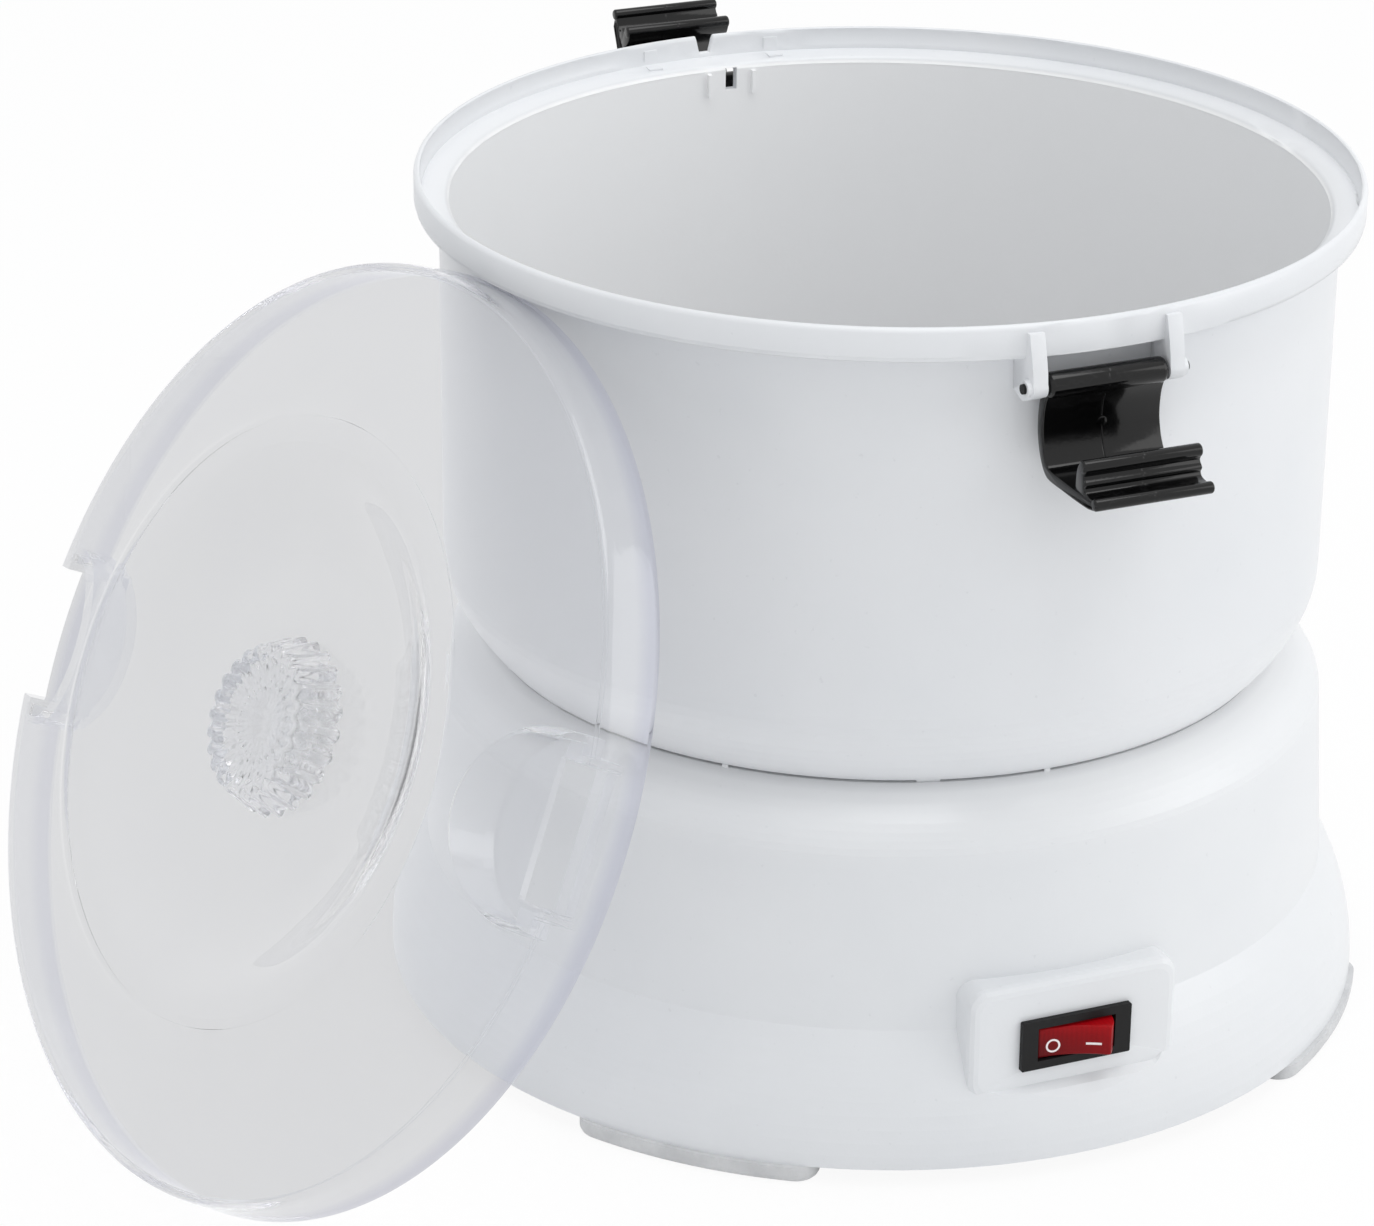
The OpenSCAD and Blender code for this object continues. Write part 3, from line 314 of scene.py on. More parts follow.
foot_rubber = rubber("foot_rubber", rgb(0.6, 0.605, 0.615), rgb(0.72, 0.725, 0.73), 0.48)
seal_rubber = rubber("seal_rubber", rgb(0.02, 0.02, 0.021), rgb(0.035, 0.035, 0.036), 0.55)
print("rubber finishes:", foot_rubber.name, seal_rubber.name)

# %% [markdown]
# ## Metals, nylon and windings
# The inner parts are out of sight until the model is opened: a zinc-plated
# motor can and gear plate, ground steel shafts, porous bronze bushes, brass
# tabs, milky nylon gears and a copper-coloured motor core. Plated sheet gets
# a stretched grain, turned parts a ring grain round their own axis.

# %% Finish: metals and inner parts
def metal(name, low, high, rough, grain, stretch=(1, 1, 14)):
    fin = Finish(name, Metallic=1.0, Specular_IOR_Level=0.5)
    lines = fin.noise(grain, 3, 0.6, stretch)
    stain = fin.range(fin.noise(60, 4, 0.6), 0.4, 0.75)
    fin.set(Base_Color=fin.blend(0.6 * lines + 0.4 * stain, low, high),
            Roughness=rough + 0.16 * lines + 0.1 * stain, Normal=fin.bump(lines, 0.12, 0.0002))
    return fin.material


def core_windings():
    fin = Finish("core_windings", Specular_IOR_Level=0.5, Coat_Weight=0.3)
    wire = fin.node("ShaderNodeTexWave", {"wave_type": "BANDS", "bands_direction": "DIAGONAL"},
                    {"Vector": fin.place, "Scale": 420, "Distortion": 1.2, "Detail": 2}, out=1)
    patch = fin.range(fin.part(2), 0.02, 0.0205) * fin.range(fin.part(2), 0.0385, 0.039, 1, 0)
    colour = fin.blend(wire, rgb(0.13, 0.035, 0.012), rgb(0.42, 0.15, 0.05))
    colour = fin.blend(patch, colour, rgb(0.12, 0.12, 0.125))
    fin.set(Base_Color=colour, Roughness=0.35 + 0.2 * wire, Normal=fin.bump(wire, 0.3, 0.0003))
    return fin.material


def nylon():
    fin = Finish("nylon", Specular_IOR_Level=0.5)
    cloud = fin.range(fin.noise(40, 4, 0.6), 0.3, 0.7)
    grease = fin.range(fin.noise(120, 3, 0.6), 0.58, 0.66)
    colour = fin.blend(cloud, rgb(0.74, 0.7, 0.58), rgb(0.82, 0.79, 0.69))
    fin.set(Base_Color=fin.blend(grease * 0.5, colour, rgb(0.62, 0.55, 0.36)),
            Roughness=0.45 - 0.25 * grease, Normal=fin.bump(fin.noise(700), 0.08, 0.0003))
    return fin.material


zinc = metal("zinc", rgb(0.5, 0.51, 0.52), rgb(0.68, 0.69, 0.69), 0.3, 60)
ground_steel = metal("ground_steel", rgb(0.58, 0.58, 0.59), rgb(0.72, 0.72, 0.73), 0.16, 90, (1, 1, 26))
bronze = metal("bronze", rgb(0.42, 0.26, 0.13), rgb(0.58, 0.4, 0.22), 0.34, 500, (1, 1, 1))
brass = metal("brass", rgb(0.62, 0.46, 0.2), rgb(0.8, 0.64, 0.32), 0.24, 120, (1, 9, 1))
windings, gear_nylon = core_windings(), nylon()
print("inner finishes:", [m.name for m in (zinc, ground_steel, bronze, brass, windings, gear_nylon)])

# %% [markdown]
# ## The abrasive disc
# The disc is a plastic plate coated with coarse grit. Grains of about a
# millimetre lie close together, some dark, some glassy, and the raised waves
# wear brighter than the hollows.

# %% Finish: grit
def grit_coat():
    fin = Finish("grit_coat", Specular_IOR_Level=0.6)
    grain = fin.node("ShaderNodeTexVoronoi", {"feature": "F1"}, {"Vector": fin.place, "Scale": 900})
    tone = fin.node("ShaderNodeTexVoronoi", {"feature": "F1"}, {"Vector": fin.place, "Scale": 900}, out=1)
    tint = fin.node("ShaderNodeRGBToBW", None, {0: tone})
    high = fin.range(fin.part(2), 0.122, 0.129)
    base = fin.blend(tint, rgb(0.3, 0.3, 0.31), rgb(0.7, 0.7, 0.71))
    colour = fin.blend(high * 0.35, base, rgb(0.72, 0.71, 0.7))
    fin.set(Base_Color=colour, Roughness=0.72 - 0.3 * tint,
            Normal=fin.bump(fin.range(grain, 0.0, 0.7, 1, 0), 0.8, 0.0007))
    return fin.material


grit = grit_coat()
print("disc finish:", grit.name)

# %% [markdown]
# ## The clear lid
# The lid is injection-moulded clear plastic, two millimetres thick, with a
# faint violet cast that shows at its edges. Light goes through it, so the
# Principled shader's transmission carries the look. The index of refraction
# is kept low, so that what lies behind is only a little displaced, and a
# coat gives the reflections. Slow ripples from the mould bend the light, and
# patches of faint mist make it rougher. The lid's leaning place is worked
# out here too, because its tint depends on the distance from its own axis.

# %% Finish: clear plastic
def clear_plastic(name, clear, ripple, bend, rim_tint=False):
    fin = Finish(name, IOR=bend, Transmission_Weight=clear, Specular_IOR_Level=0.5, Coat_Weight=0.75,
                 Coat_Roughness=0.03, Coat_IOR=1.45)
    slow = fin.noise(38, 2, 0.5)
    fine = fin.noise(700, 2, 0.5)
    mist = fin.range(fin.noise(150, 3, 0.7), 0.56, 0.72)
    edge_on = fin.node("ShaderNodeLayerWeight", None, {"Blend": 0.3}, out="Facing").power(4)
    body = fin.blend(slow, rgb(0.945, 0.95, 0.968), rgb(0.968, 0.973, 0.985))
    share, ripples = edge_on * 0.25, slow * ripple + fine * 0.03
    if rim_tint:
        local = fin.node("ShaderNodeMapping", {"vector_type": "TEXTURE"},
                         {"Vector": fin.place, "Location": leaning.to_translation(),
                          "Rotation": leaning.to_euler()})
        radius = fin.from_axis(local)
        outer = fin.range(radius, 0.083, 0.086)
        share = edge_on * (0.02 + 0.6 * outer) + 0.5 * fin.range(radius, 0.1219, 0.1225)
        ripples = ripples * fin.range(radius, 0.114, 0.118, 1, 0)
    fin.set(Base_Color=fin.blend(share.at_most(1), body, rgb(0.5, 0.51, 0.7)),
            Roughness=0.02 + 0.06 * mist, Normal=fin.bump(ripples, 0.04, 0.001))
    return fin.material


lid_r, lean, lean_way, lid_turn = 122.8, 26.5, 192.5, 8
leaning = (Matrix.Rotation(math.radians(lean_way), 4, "Z")
           @ Matrix.Translation(((118.8 + lid_r * math.sin(math.radians(lean))) * mm, 0,
                                 (lid_r * math.cos(math.radians(lean)) - 5) * mm))
           @ Matrix.Rotation(math.radians(90 - lean), 4, "Y")
           @ Matrix.Rotation(math.radians(90 + lid_turn), 4, "Z"))
clear_lid = clear_plastic("clear_lid", 0.93, 1.0, 1.06, rim_tint=True)
clear_knob = clear_plastic("clear_knob", 0.96, 0.4, 1.33)
print("clear finishes:", clear_lid.name, clear_knob.name)

# %% [markdown]
# ## Dressing the CAD nodes
# A CAD node whose shape is right keeps its mesh and only gets a finish in its
# material slots.

# %% Give every CAD node its finish
node_finish = {
    "base_housing": white_base, "base_plate": black_plate, "gear_pillars": white_small,
    "foot_front_left": foot_rubber, "foot_front_right": foot_rubber,
    "foot_rear_left": foot_rubber, "foot_rear_right": foot_rubber,
    "plate_screws": zinc, "switch_housing": black_satin, "switch_terminals": brass,
    "switch_rocker": cap_red, "cord_gland": seal_rubber, "motor_can": zinc,
    "motor_end_cap": black_satin, "motor_terminals": brass, "motor_screws": zinc,
    "motor_shaft": ground_steel, "motor_core": windings, "motor_pinion": bronze,
    "gear_plate": zinc, "gear_plate_screws": zinc, "idler_pin": ground_steel,
    "idler_gear": gear_nylon, "lower_bush": bronze, "upper_bush": bronze,
    "shaft_seal": seal_rubber, "output_shaft": ground_steel, "output_gear": gear_nylon,
    "drive_dog": black_satin, "bowl": white_bowl, "bowl_rim": white_bowl, "disc_hub": black_satin,
    "abrasive_disc": grit, "disc_cap": white_small, "latch_pin_front": black_satin,
    "latch_pin_rear": black_satin, "latch_front": black_gloss, "latch_rear": black_gloss,
    "lid": clear_lid, "lid_knob": clear_knob}
for name, material in node_finish.items():
    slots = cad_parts[name].data.materials
    slots.clear()
    slots.append(material)
print("nodes dressed:", len(node_finish), "of", len(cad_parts))

# %% [markdown]
# ## Modelling by hand, in code
# Each new piece is made as a person would make it in the window: draw a line
# of points, fill it, extrude it, spin it or bevel its edges. The helpers
# below do one such step each. Everything is deselected before a primitive is
# added, because an operator acts on all that is selected.

# %% Helpers for edit mode
import bmesh


def nothing_selected():
    if bpy.context.object and bpy.context.object.mode != "OBJECT":
        bpy.ops.object.mode_set(mode="OBJECT")
    bpy.ops.object.select_all(action="DESELECT")


def edit(piece):
    nothing_selected()
    piece.select_set(True)
    bpy.context.view_layer.objects.active = piece
    bpy.ops.object.mode_set(mode="EDIT")


def pick(kind, test):
    """Selects the points, edges or faces whose middle passes the test."""
    bpy.ops.mesh.select_mode(type=kind)
    bpy.ops.mesh.select_all(action="DESELECT")
    mesh = bmesh.from_edit_mesh(bpy.context.object.data)
    mesh.normal_update()
    parts = {"VERT": mesh.verts, "EDGE": mesh.edges, "FACE": mesh.faces}[kind]
    chosen = 0
    for part in parts:
        if kind == "VERT":
            fits = test(part.co, part)
        elif kind == "EDGE":
            fits = test((part.verts[0].co + part.verts[1].co) / 2, part)
        else:
            fits = test(part.calc_center_median(), part)
        if fits:
            part.select_set(True)
            chosen += 1
    if kind == "VERT":
        mesh.select_flush(True)
    bmesh.update_edit_mesh(bpy.context.object.data)
    return chosen


def sketch(name, points):
    """One vertex, extruded from point to point."""
    nothing_selected()
    bpy.ops.mesh.primitive_plane_add(size=0.001)
    piece = bpy.context.object
    piece.name = piece.data.name = name
    bpy.ops.object.mode_set(mode="EDIT")
    bpy.ops.mesh.select_mode(type="VERT")
    bpy.ops.mesh.select_all(action="SELECT")
    bpy.ops.mesh.merge(type="CENTER")
    bpy.ops.transform.translate(value=Vector(points[0]))
    for before, after in zip(points, points[1:]):
        bpy.ops.mesh.extrude_vertices_move(TRANSFORM_OT_translate={"value": Vector(after) - Vector(before)})
    bpy.ops.mesh.select_all(action="SELECT")
    return piece


def slab(name, points, along):
    """A closed outline, filled and extruded."""
    piece = sketch(name, points)
    bpy.ops.mesh.edge_face_add()
    bpy.ops.mesh.extrude_region_move(TRANSFORM_OT_translate={"value": Vector(along)})
    bpy.ops.mesh.select_all(action="SELECT")
    bpy.ops.mesh.normals_make_consistent(inside=False)
    bpy.ops.object.mode_set(mode="OBJECT")
    return piece


def turned(name, points, steps):
    """A side view, spun about the upright axis."""
    piece = sketch(name, points)
    bpy.ops.mesh.spin(steps=steps, angle=math.tau, center=(0, 0, 0), axis=(0, 0, 1))
    bpy.ops.mesh.select_all(action="SELECT")
    bpy.ops.mesh.remove_doubles(threshold=0.00002)
    bpy.ops.mesh.normals_make_consistent(inside=False)
    bpy.ops.object.mode_set(mode="OBJECT")
    return piece


def round_edges(piece, width, segments=3, angle=35):
    edges = piece.modifiers.new("round", "BEVEL")
    edges.width, edges.segments, edges.limit_method = width, segments, "ANGLE"
    edges.angle_limit, edges.harden_normals = math.radians(angle), False
    bpy.context.view_layer.objects.active = piece
    bpy.ops.object.modifier_apply(modifier=edges.name)
    return piece


def smooth(piece, angle=32):
    nothing_selected()
    piece.select_set(True)
    bpy.context.view_layer.objects.active = piece
    bpy.ops.object.shade_smooth_by_angle(angle=math.radians(angle))
    return piece


def joined(name, *pieces):
    nothing_selected()
    for piece in pieces:
        piece.select_set(True)
    bpy.context.view_layer.objects.active = pieces[0]
    bpy.ops.object.join()
    pieces[0].name = pieces[0].data.name = name
    return pieces[0]


def moved(piece, matrix):
    """Moves a piece and writes the move into its mesh."""
    piece.matrix_world = matrix @ piece.matrix_world
    nothing_selected()
    piece.select_set(True)
    bpy.context.view_layer.objects.active = piece
    bpy.ops.object.transform_apply(location=True, rotation=True, scale=True)
    return piece


def copied(piece, name):
    nothing_selected()
    piece.select_set(True)
    bpy.context.view_layer.objects.active = piece
    bpy.ops.object.duplicate(linked=False)
    twin = bpy.context.object
    twin.name = twin.data.name = name
    return twin


def done(piece, body, slot, material, *nodes):
    piece.data.materials.clear()
    piece.data.materials.append(material)
    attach(piece, body)
    if nodes:
        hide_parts(*nodes)
    print(piece.name, "has", len(piece.data.polygons), "faces")
    return piece


def flowing(points, steps=4):
    """A smooth line through the points."""
    line = []
    for i in range(len(points) - 1):
        a, b = points[max(i - 1, 0)], points[i]
        c, d = points[i + 1], points[min(i + 2, len(points) - 1)]
        for k in range(steps):
            t = k / steps
            line.append([0.5 * (2 * q + (r - p) * t + (2 * p - 5 * q + 4 * r - s) * t * t
                                + (3 * q - p - 3 * r + s) * t ** 3) for p, q, r, s in zip(a, b, c, d)])
    return line + [list(points[-1])]


def band(line, thick):
    """Outline of a ribbon round a line in a plane, with a round far end.

    thick gives the thickness for a share of the way along the line.
    """
    left, right = [], []
    for i, (x, y) in enumerate(line):
        a, b = line[max(i - 1, 0)], line[min(i + 1, len(line) - 1)]
        dx, dy = b[0] - a[0], b[1] - a[1]
        size = math.hypot(dx, dy)
        half = thick(i / (len(line) - 1)) / 2
        left.append((x - dy / size * half, y + dx / size * half))
        right.append((x + dy / size * half, y - dx / size * half))
    tip = line[-1]
    ahead = math.atan2(tip[1] - line[-2][1], tip[0] - line[-2][0])
    half = thick(1.0) / 2
    cap = [(tip[0] + half * math.cos(ahead + math.radians(a)),
            tip[1] + half * math.sin(ahead + math.radians(a))) for a in (60, 30, 0, -30, -60)]
    return left + cap + right[::-1]


print("modelling helpers ready")

# %% [markdown]
# ## The two latches
# A latch is one black moulding: a barrel on the pin, a plate that hangs in a
# gentle curve and turns outwards, and at its far end a short upright wall
# with a finger groove between two round bars. The side view is drawn once as
# a smooth line with thickness, extruded over the latch's width and its edges
# are rounded. A thin, dull flash line of the mould runs down the middle. The
# rear latch is a copy, turned up to its rest angle.

# %% The front latch
pin_out, pin_up, half_width = 125.3, 210.5, 16.0
hang = [(0.0, -1.0), (-1.6, -5.0), (-2.2, -9.0), (-2.1, -13.0), (-1.0, -17.0), (0.1, -19.2), (1.4, -20.9),
        (3.2, -21.9), (6.5, -22.05), (10.0, -22.0), (18.0, -21.9), (26.1, -21.45)]
curve = flowing(hang, 3)
groove = flowing([(16.6, -21.2), (16.7, -17.5), (17.0, -15.4), (17.7, -13.9), (18.9, -12.5), (20.4, -12.0),
                  (21.5, -12.9), (21.5, -14.6), (21.0, -15.7), (21.5, -16.5), (22.2, -17.1), (22.2, -17.9),
                  (21.7, -18.6), (22.2, -19.5), (24.0, -19.9), (26.2, -19.9)], 2) + [(26.2, -21.6), (20.0, -21.9)]


def on_front(x, out, up):
    return (x * mm, -(pin_out + out) * mm, (pin_up + up) * mm)


def bar(name, out, up, radius):
    nothing_selected()
    bpy.ops.mesh.primitive_cylinder_add(vertices=32, radius=radius * mm, depth=2 * half_width * mm,
                                        location=on_front(0, out, up), rotation=(0, math.pi / 2, 0))
    rod = bpy.context.object
    rod.name = name
    bpy.ops.object.transform_apply(location=True, rotation=True, scale=True)
    return round_edges(rod, radius * 0.42 * mm, 4, 60)


plate = slab("plate", [on_front(-half_width, *p) for p in band(curve, lambda t: 3.0 - 0.5 * t)],
             (2 * half_width * mm, 0, 0))
round_edges(plate, 0.45 * mm, 3, 40)
edit(plate)
pick("VERT", lambda p, _: p.y < -(pin_out + 24.5) * mm and abs(p.x) > (half_width - 1) * mm)
bpy.ops.transform.resize(value=(0.955, 1, 1), center_override=(0, 0, 0))
bpy.ops.object.mode_set(mode="OBJECT")
wall = slab("wall", [on_front(0.35 - half_width, *p) for p in groove], ((2 * half_width - 0.7) * mm, 0, 0))
round_edges(wall, 0.35 * mm, 2, 50)
flash = slab("flash", [on_front(-0.16, *p) for p in band(curve[2:-2], lambda t: 3.22 - 0.5 * t)],
             (0.32 * mm, 0, 0))
round_edges(flash, 0.07 * mm, 2, 50)
nothing_selected()
bpy.ops.mesh.primitive_cylinder_add(vertices=24, radius=1.3 * mm, depth=0.5 * mm,
                                    location=on_front(0, -0.62, -11.5), rotation=(math.pi / 2, 0, 0))
gate = bpy.context.object
bpy.ops.object.transform_apply(location=True, rotation=True, scale=True)
round_edges(gate, 0.15 * mm, 2, 60)
latch = joined("over_rim_latch_front", plate, wall, bar("barrel", 0, 0, 3.3),
               bar("lip_bar", 20.2, -13.6, 1.75), bar("end_bar", 27.0, -20.7, 1.55), gate)
smooth(latch, 34)
flash.name = flash.data.name = "mould_line_front"
latch_twin, flash_twin = copied(latch, "over_rim_latch_rear"), copied(flash, "mould_line_rear")
swing_up = (Matrix.Translation((0, pin_out * mm, pin_up * mm)) @ Matrix.Rotation(math.radians(62), 4, "X")
            @ Matrix.Rotation(math.pi, 4, "Z") @ Matrix.Translation((0, pin_out * mm, -pin_up * mm)))
moved(latch_twin, swing_up)
moved(flash_twin, swing_up)
done(latch, "latch_front_arm", "black_abs", black_gloss, "latch_front")
done(latch_twin, "latch_rear_arm", "black_abs", black_gloss, "latch_rear")
done(flash, "latch_front_arm", "black_abs", black_satin)
done(flash_twin, "latch_rear_arm", "black_abs", black_satin)

# %% [markdown]
# ## The rocker and its marks
# The rocker's face is a shallow hollow between two rounded ends, and in the
# off position its right end stands out of the frame. Its plan is drawn from
# above, extrude gives it height and a bevel gives the soft moulded edge. The
# ring and the bar are printed, so they are thin pieces of paint that lie on
# the face and turn with it.

# %% Rocker with its off and on marks
pivot = Vector((-1.9, -127.1, 31.5))
tip_turn, rest_turn, reach = math.radians(28.4), math.radians(-33.7 / 2), 10.7


def on_rocker(x, y, z):
    """Millimetres from the pivot, turned to the rest position."""
    c, s = math.cos(rest_turn), math.sin(rest_turn)
    return ((pivot.x + c * x - s * y) * mm, (pivot.y + s * x + c * y) * mm, (pivot.z + z) * mm)


face_half = reach * math.cos(tip_turn)


def face_y(x):
    return -reach * math.sin(tip_turn) + 1.35 * (1 - (x / face_half) ** 2)


right_end = [(reach * math.cos(a), -reach * math.sin(a)) for a in
             [tip_turn + (math.radians(-15) - tip_turn) * i / 8 for i in range(9)]]
left_end = [(-x, y) for x, y in right_end[::-1]]
hollow = [(x, face_y(x)) for x in [-face_half + 2 * face_half * i / 24 for i in range(1, 24)]]
rocker = slab("rocker_cap", [on_rocker(x, y, -4.35) for x, y in right_end + left_end + hollow],
              (0, 0, 8.3 * mm))
round_edges(rocker, 0.42 * mm, 3, 40)
smooth(rocker, 36)
done(rocker, "rocker", "switch_red", cap_red, "switch_rocker")


def printed(name, outline, hole=None):
    """Paint that follows the hollow face, a few hundredths thick."""
    ring = [on_rocker(x, face_y(x) - 0.03, z) for x, z in outline]
    piece = sketch(name, ring)
    bpy.ops.mesh.edge_face_add()
    if hole:
        bpy.ops.mesh.inset(thickness=hole * mm)
        bpy.ops.mesh.delete(type="FACE")
        bpy.ops.mesh.select_all(action="SELECT")
    bpy.ops.object.mode_set(mode="OBJECT")
    paint = piece.modifiers.new("paint", "SOLIDIFY")
    paint.thickness, paint.offset = 0.05 * mm, 0
    bpy.context.view_layer.objects.active = piece
    bpy.ops.object.modifier_apply(modifier=paint.name)
    return piece


round_points = [math.tau * i / 48 for i in range(48)]
off_mark = printed("mark_off", [(-5.5 + 1.92 * math.cos(a), -1.25 + 1.92 * math.sin(a)) for a in round_points],
                   0.52)
bar_steps = (3.1, 3.9, 4.7, 5.5, 6.3, 7.1)
on_mark = printed("mark_on", [(x, -1.5) for x in bar_steps] + [(x, -0.88) for x in bar_steps[::-1]])
for mark in (off_mark, on_mark):
    done(smooth(mark), "rocker", "switch_red", paint_white)

# %% [markdown]
# ## The rim with its ears
# The rim keeps the CAD shape, which is right, but mouldings have no knife
# edges. A CAD node's mesh is loose triangles, so a copy is merged, its flat
# areas are dissolved into single faces and the sharp edges of the ears, which
# the light catches, are bevelled by half a millimetre.

# %% A softened copy of the rim
def softened(node, name, width, segments, sharp, where):
    nothing_selected()
    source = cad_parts[node]
    piece = bpy.data.objects.new(name, source.data.copy())
    piece.data.name = name
    bpy.context.scene.collection.objects.link(piece)
    edit(piece)
    bpy.ops.mesh.select_all(action="SELECT")
    bpy.ops.mesh.remove_doubles(threshold=0.000004)
    bpy.ops.mesh.dissolve_limited(angle_limit=math.radians(0.5))
    chosen = pick("EDGE", lambda middle, edge: len(edge.link_faces) == 2
                  and math.degrees(edge.calc_face_angle(0)) > sharp and where(middle))
    bpy.ops.mesh.bevel(offset=width, segments=segments, affect="EDGES", clamp_overlap=True)
    bpy.ops.object.mode_set(mode="OBJECT")
    print(name, "edges rounded:", chosen)
    return smooth(piece, 30)


rim = softened("bowl_rim", "rim_with_ears", 0.45 * mm, 3, 50, lambda p: abs(p.x) < 0.024 and abs(p.y) > 0.118)
done(rim, "bowl_unit", "white_abs", white_bowl, "bowl_rim")

# %% [markdown]
# ## Seam nubs
# The bowl stands on small nubs on the base's top edge, which show as pale
# dots in the dark seam. One is a small block with rounded edges, and the
# others are copies of it, turned round the axis in steps of 45 degrees.

# %% Eight nubs in the seam
first_nub, nub_count = math.radians(-90.9), 8
for i in range(nub_count):
    nothing_selected()
    bpy.ops.mesh.primitive_cube_add(size=1, location=(106.95 * mm, 0, 97.35 * mm),
                                    scale=(0.9 * mm, 1.7 * mm, 1.1 * mm))
    nub = bpy.context.object
    nub.name = nub.data.name = f"seam_nub_{i + 1}"
    bpy.ops.object.transform_apply(location=True, rotation=True, scale=True)
    round_edges(nub, 0.3 * mm, 3, 60)
    moved(nub, Matrix.Rotation(first_nub + math.tau * i / nub_count, 4, "Z"))
    done(smooth(nub), "base_unit", "white_abs", white_small)

# %% [markdown]
# ## The clear lid
# The lid is one smooth clear moulding: a skirt, a dome with a raised ring and
# a dished middle. Refraction shows every facet, so it is spun anew in fine
# steps from a line that flows round each corner. A second, inner line gives
# the hollow. Boolean modifiers then take out the hollow, the two finger wells
# with their notches, and the slots that the latch hooks enter. Cuts between
# surfaces that touch leave faulty slivers, so the mesh is merged, cleared of
# degenerate faces and validated. The clear pieces throw no hard shadow.

# %% Lid shell
lid_steps = 240
lid_t, well_r, well_in, well_h, bar_r, bar_h, latch_w = 2.0, 22.5, 86.0, 10.8, 111.6, 7.2, 32.0


def profile(points, steps):
    """Radius and height pairs as a flowing line in the XZ plane."""
    return [(max(r, 0) * mm, 0, h * mm) for r, h in flowing(points, steps)]


def cut_by(piece, tool, operation="DIFFERENCE"):
    change = piece.modifiers.new("cut", "BOOLEAN")
    change.operation, change.object, change.solver = operation, tool, "EXACT"
    bpy.context.view_layer.objects.active = piece
    bpy.ops.object.modifier_apply(modifier=change.name)
    bpy.data.objects.remove(tool)
    return piece


def block(x0, x1, half, z0, z1):
    return slab("block", [(x * mm, y * mm, z0 * mm) for x, y in
                          ((x0, -half), (x1, -half), (x1, half), (x0, half))], (0, 0, (z1 - z0) * mm))


def well_cutters(grow):
    """Both finger wells with their notches, grown by some millimetres."""
    made = []
    middle, reach_r = well_in + well_r, well_r + grow
    for half_turn in (0, math.pi):
        arc = [(middle - reach_r * math.sin(math.radians(a)), reach_r * math.cos(math.radians(a)))
               for a in range(0, 181, 4)]
        outline = [(bar_r + grow, reach_r)] + arc + [(bar_r + grow, -reach_r)]
        well = slab("well", [(x * mm, y * mm, (well_h - grow) * mm) for x, y in outline], (0, 0, 60 * mm))
        notch = block(bar_r - 4, bar_r + 30, latch_w / 2 + 2 + grow, bar_h - grow, 62)
        cut_by(well, notch, "UNION")
        made.append(moved(well, Matrix.Rotation(half_turn, 4, "Z")))
    return joined("wells", *made)


outside = turned("lid_shell", [(0, 0, 0)] + profile(
    [(122.2, 0), (122.62, 0.5), (122.55, 2.5), (121.6, 9.0), (121.2, 12.4), (120.6, 14.4),
     (119.4, 15.35), (118.2, 15.95), (100.0, 21.7), (80.7, 27.0), (78.5, 27.7), (76.6, 28.1),
     (74.0, 28.2), (71.6, 28.1), (70.2, 27.8), (67.6, 26.8), (64.0, 24.8), (59.0, 21.7),
     (53.0, 18.8), (47.0, 17.0), (41.0, 16.0), (25.3, 15.5), (12.0, 15.5), (0.0, 15.5)], 3),
    lid_steps)
inside = turned("hollow", [(0, 0, -1 * mm)] + profile(
    [(120.8, -1), (120.6, 2.5), (119.6, 9.0), (119.2, 12.0), (118.5, 13.3), (117.3, 14.0),
     (99.0, 19.7), (80.0, 24.9), (78.0, 25.7), (76.2, 26.1), (74.0, 26.2), (71.9, 26.1),
     (70.6, 25.8), (68.2, 24.8), (64.6, 22.8), (59.6, 19.7), (53.4, 16.8), (47.2, 15.0),
     (41.0, 14.0), (25.3, 13.5), (12.0, 13.5), (0.0, 13.5)], 3), lid_steps)
cut_by(inside, well_cutters(lid_t))
cut_by(outside, inside)
cut_by(outside, well_cutters(0))
slots = [moved(block(bar_r - 9.6, bar_r, latch_w / 2 + 1.6, -1, 29), Matrix.Rotation(half_turn, 4, "Z"))
         for half_turn in (0, math.pi)]
cut_by(outside, joined("slots", *slots))
for half_turn in (0, math.pi):
    cut_by(outside, moved(block(bar_r, bar_r + lid_t, latch_w / 2 + 2, bar_h - 5, bar_h - 0.7),
                          Matrix.Rotation(half_turn, 4, "Z")), "UNION")
edit(outside)
bpy.ops.mesh.select_all(action="SELECT")
bpy.ops.mesh.remove_doubles(threshold=0.000002)
bpy.ops.mesh.dissolve_degenerate(threshold=0.000002)
bpy.ops.mesh.normals_make_consistent(inside=False)
bpy.ops.object.mode_set(mode="OBJECT")
print("lid mesh needed repair:", outside.data.validate())
moved(outside, leaning)
done(smooth(outside, 26), "lid_unit", "clear_plastic", clear_lid, "lid")
outside.visible_shadow = False

# %% [markdown]
# ## The lid's knob
# The knob is a shallow clear cup with rounded flutes all round, a raised
# inner ring and a dished middle. Its outline is a circle whose radius swells
# and shrinks 24 times. Extrude and resize carry it up over the crown and
# down into the dish in small steps. An inset would cross itself in the
# flutes, and resize about the middle doesn't.

# %% Knob with 24 flutes
flutes, dish = 24, 15.5


def fluted(radius, depth):
    """A circle with a groove at each flute, ten points to a flute."""
    points = []
    for i in range(flutes * 10):
        a = math.tau * i / (flutes * 10)
        out = radius - depth * (0.5 + 0.5 * math.cos(flutes * a)) ** 1.6
        points.append((out * mm * math.cos(a), out * mm * math.sin(a), dish * mm))
    return points


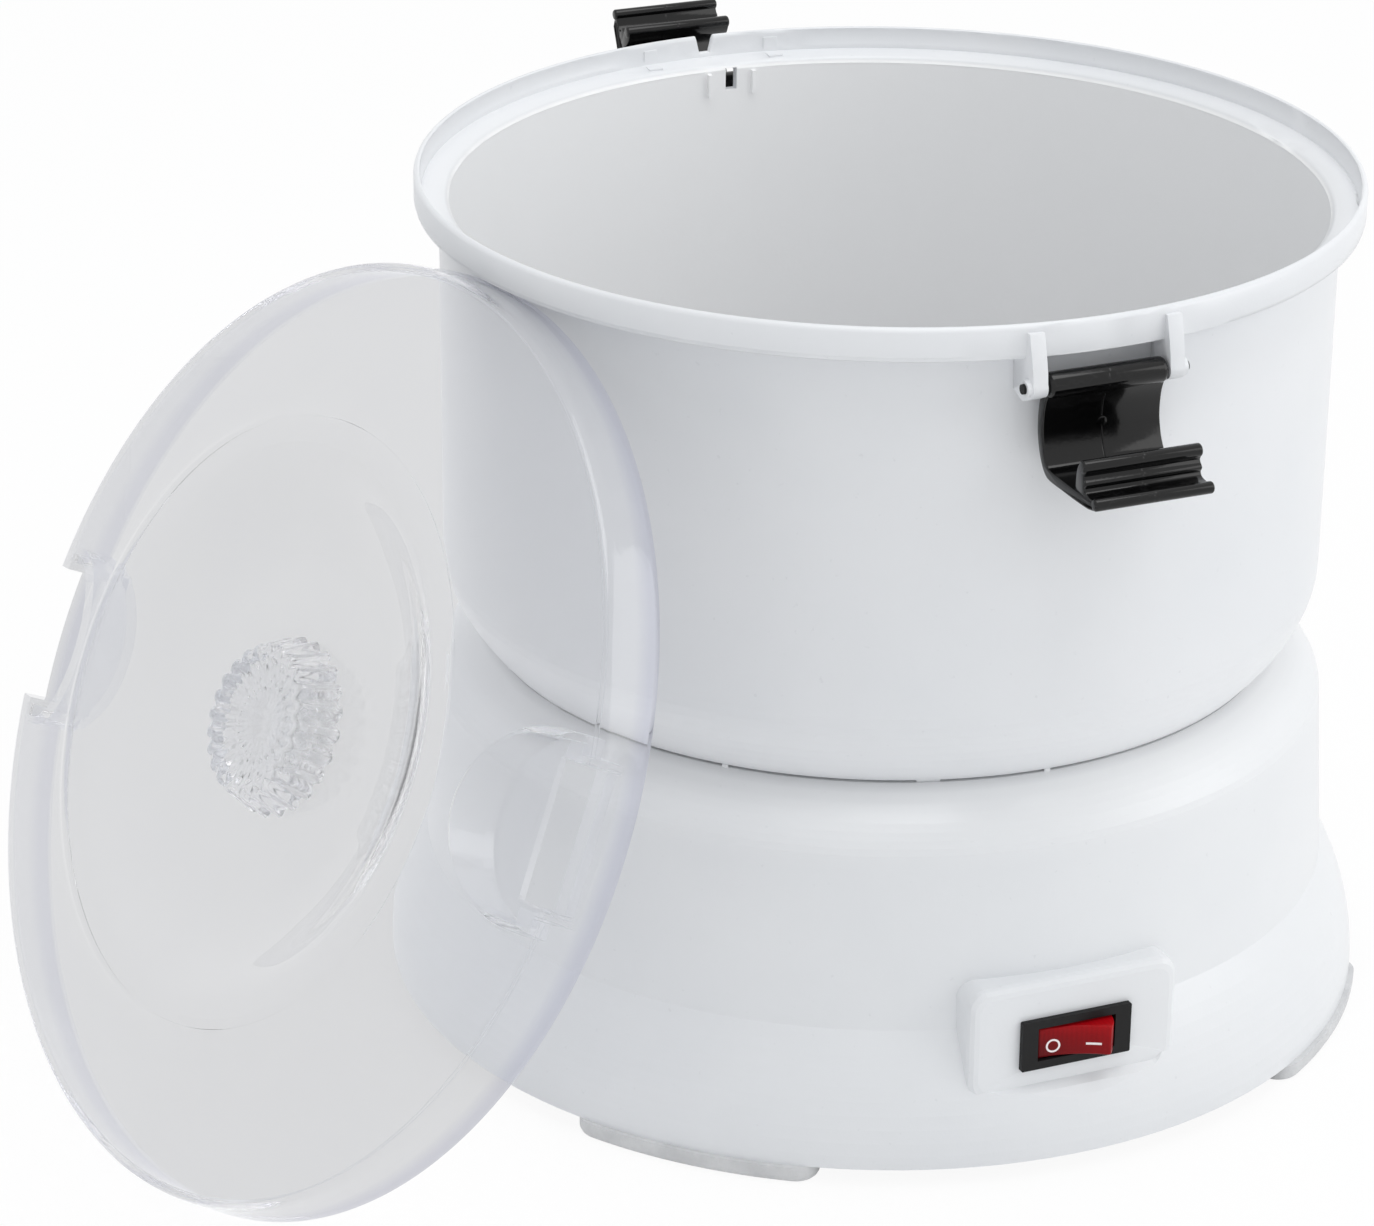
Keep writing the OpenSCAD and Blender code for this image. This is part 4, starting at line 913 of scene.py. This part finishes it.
knob = sketch("lid_knob_fluted", fluted(23.2, 2.0))
bpy.ops.mesh.edge_face_add()
for rise, share in ((1.2, 0.988), (7.0, 0.872), (1.2, 0.985), (0.7, 0.965), (0.3, 0.96),
                    (0.0, 0.95), (-0.5, 0.965), (-1.3, 0.93), (-1.0, 0.72), (0.5, 0.93),
                    (0.0, 0.88), (-0.5, 0.93), (-0.1, 0.5)):
    bpy.ops.mesh.extrude_region_move(TRANSFORM_OT_translate={"value": (0, 0, rise * mm)})
    bpy.ops.transform.resize(value=(share, share, 1), center_override=(0, 0, dish * mm))
bpy.ops.mesh.select_all(action="SELECT")
bpy.ops.mesh.normals_make_consistent(inside=False)
bpy.ops.object.mode_set(mode="OBJECT")
moved(knob, leaning)
done(smooth(knob, 50), "lid_unit", "clear_plastic", clear_knob, "lid_knob")
knob.visible_shadow = False

# %% [markdown]
# ## Studio
# The floor and the world look white to the camera, through glass and in
# reflections, by Light Path, while the light that falls on the object stays
# at a plain level. Rays that pass through the clear lid see a slightly
# darker paper, because the real lid greys the white behind it. A large soft
# box on the right is the key, so that the left flank and the inner right wall
# fall into a light grey.

# %% Floor, world and lamps
through_lid = 0.7


def studio_floor():
    nothing_selected()
    bpy.ops.mesh.primitive_circle_add(vertices=96, radius=3.0, fill_type="NGON",
                                      location=(0, 0, -5.1 * mm))
    floor = bpy.context.object
    floor.name = "studio_floor"
    fin = Finish("floor_paper", Roughness=0.9, Specular_IOR_Level=0.2)
    fin.set(Base_Color=fin.blend(fin.noise(3, 3), rgb(0.93, 0.93, 0.935), rgb(0.95, 0.95, 0.95)))
    direct, glossy, through = (fin.node("ShaderNodeLightPath", out=ray) for ray in
                               ("Is Camera Ray", "Is Glossy Ray", "Is Transmission Ray"))
    glow = fin.node("ShaderNodeEmission", None,
                    {"Color": rgb(1, 1, 1), "Strength": 1 - through * (1 - through_lid)})
    mixed = fin.node("ShaderNodeMixShader", None,
                     {0: direct.at_least(glossy).at_least(through) * 0.93, 1: fin.shader.outputs[0], 2: glow})
    fin.tree.links.new(mixed, fin.output.inputs["Surface"])
    floor.data.materials.append(fin.material)


def studio_world(fill):
    world = bpy.data.worlds.new("studio")
    bpy.context.scene.world = world
    world.use_nodes = True
    tree = world.node_tree
    tree.nodes.clear()

    def node(kind, **values):
        made = tree.nodes.new(kind)
        for key, value in values.items():
            made.inputs[key].default_value = value
        return made

    path, output = node("ShaderNodeLightPath"), node("ShaderNodeOutputWorld")
    light = node("ShaderNodeBackground", Color=rgb(0.97, 0.985, 1.0), Strength=fill)
    white = node("ShaderNodeBackground", Color=rgb(1, 1, 1), Strength=1.0)
    pale = node("ShaderNodeBackground", Color=rgb(0.985, 0.99, 1.0), Strength=through_lid)
    above_light = light
    for ray, paper in (("Is Glossy Ray", white), ("Is Transmission Ray", pale), ("Is Camera Ray", white)):
        mix = node("ShaderNodeMixShader")
        tree.links.new(path.outputs[ray], mix.inputs[0])
        tree.links.new(above_light.outputs[0], mix.inputs[1])
        tree.links.new(paper.outputs[0], mix.inputs[2])
        above_light = mix
    tree.links.new(above_light.outputs[0], output.inputs["Surface"])


def soft_box(name, place, target, size, watts, tint):
    data = bpy.data.lights.new(name, "AREA")
    data.shape, data.size, data.size_y = "RECTANGLE", size[0], size[1]
    data.energy, data.color = watts, tint
    lamp = bpy.data.objects.new(name, data)
    bpy.context.scene.collection.objects.link(lamp)
    lamp.location = place
    lamp.rotation_euler = (Vector(target) - Vector(place)).to_track_quat("-Z", "Y").to_euler()


studio_floor()
studio_world(fill=0.72)
soft_box("key_box", (1.5, -1.0, 0.9), (0, 0, 0.1), (1.2, 1.2), 6.5, (1.0, 0.995, 0.985))
soft_box("top_box", (0.1, -0.3, 1.9), (0, 0, 0.1), (1.1, 1.1), 9.8, (1, 1, 1))
bpy.context.scene.view_settings.view_transform = "Standard"
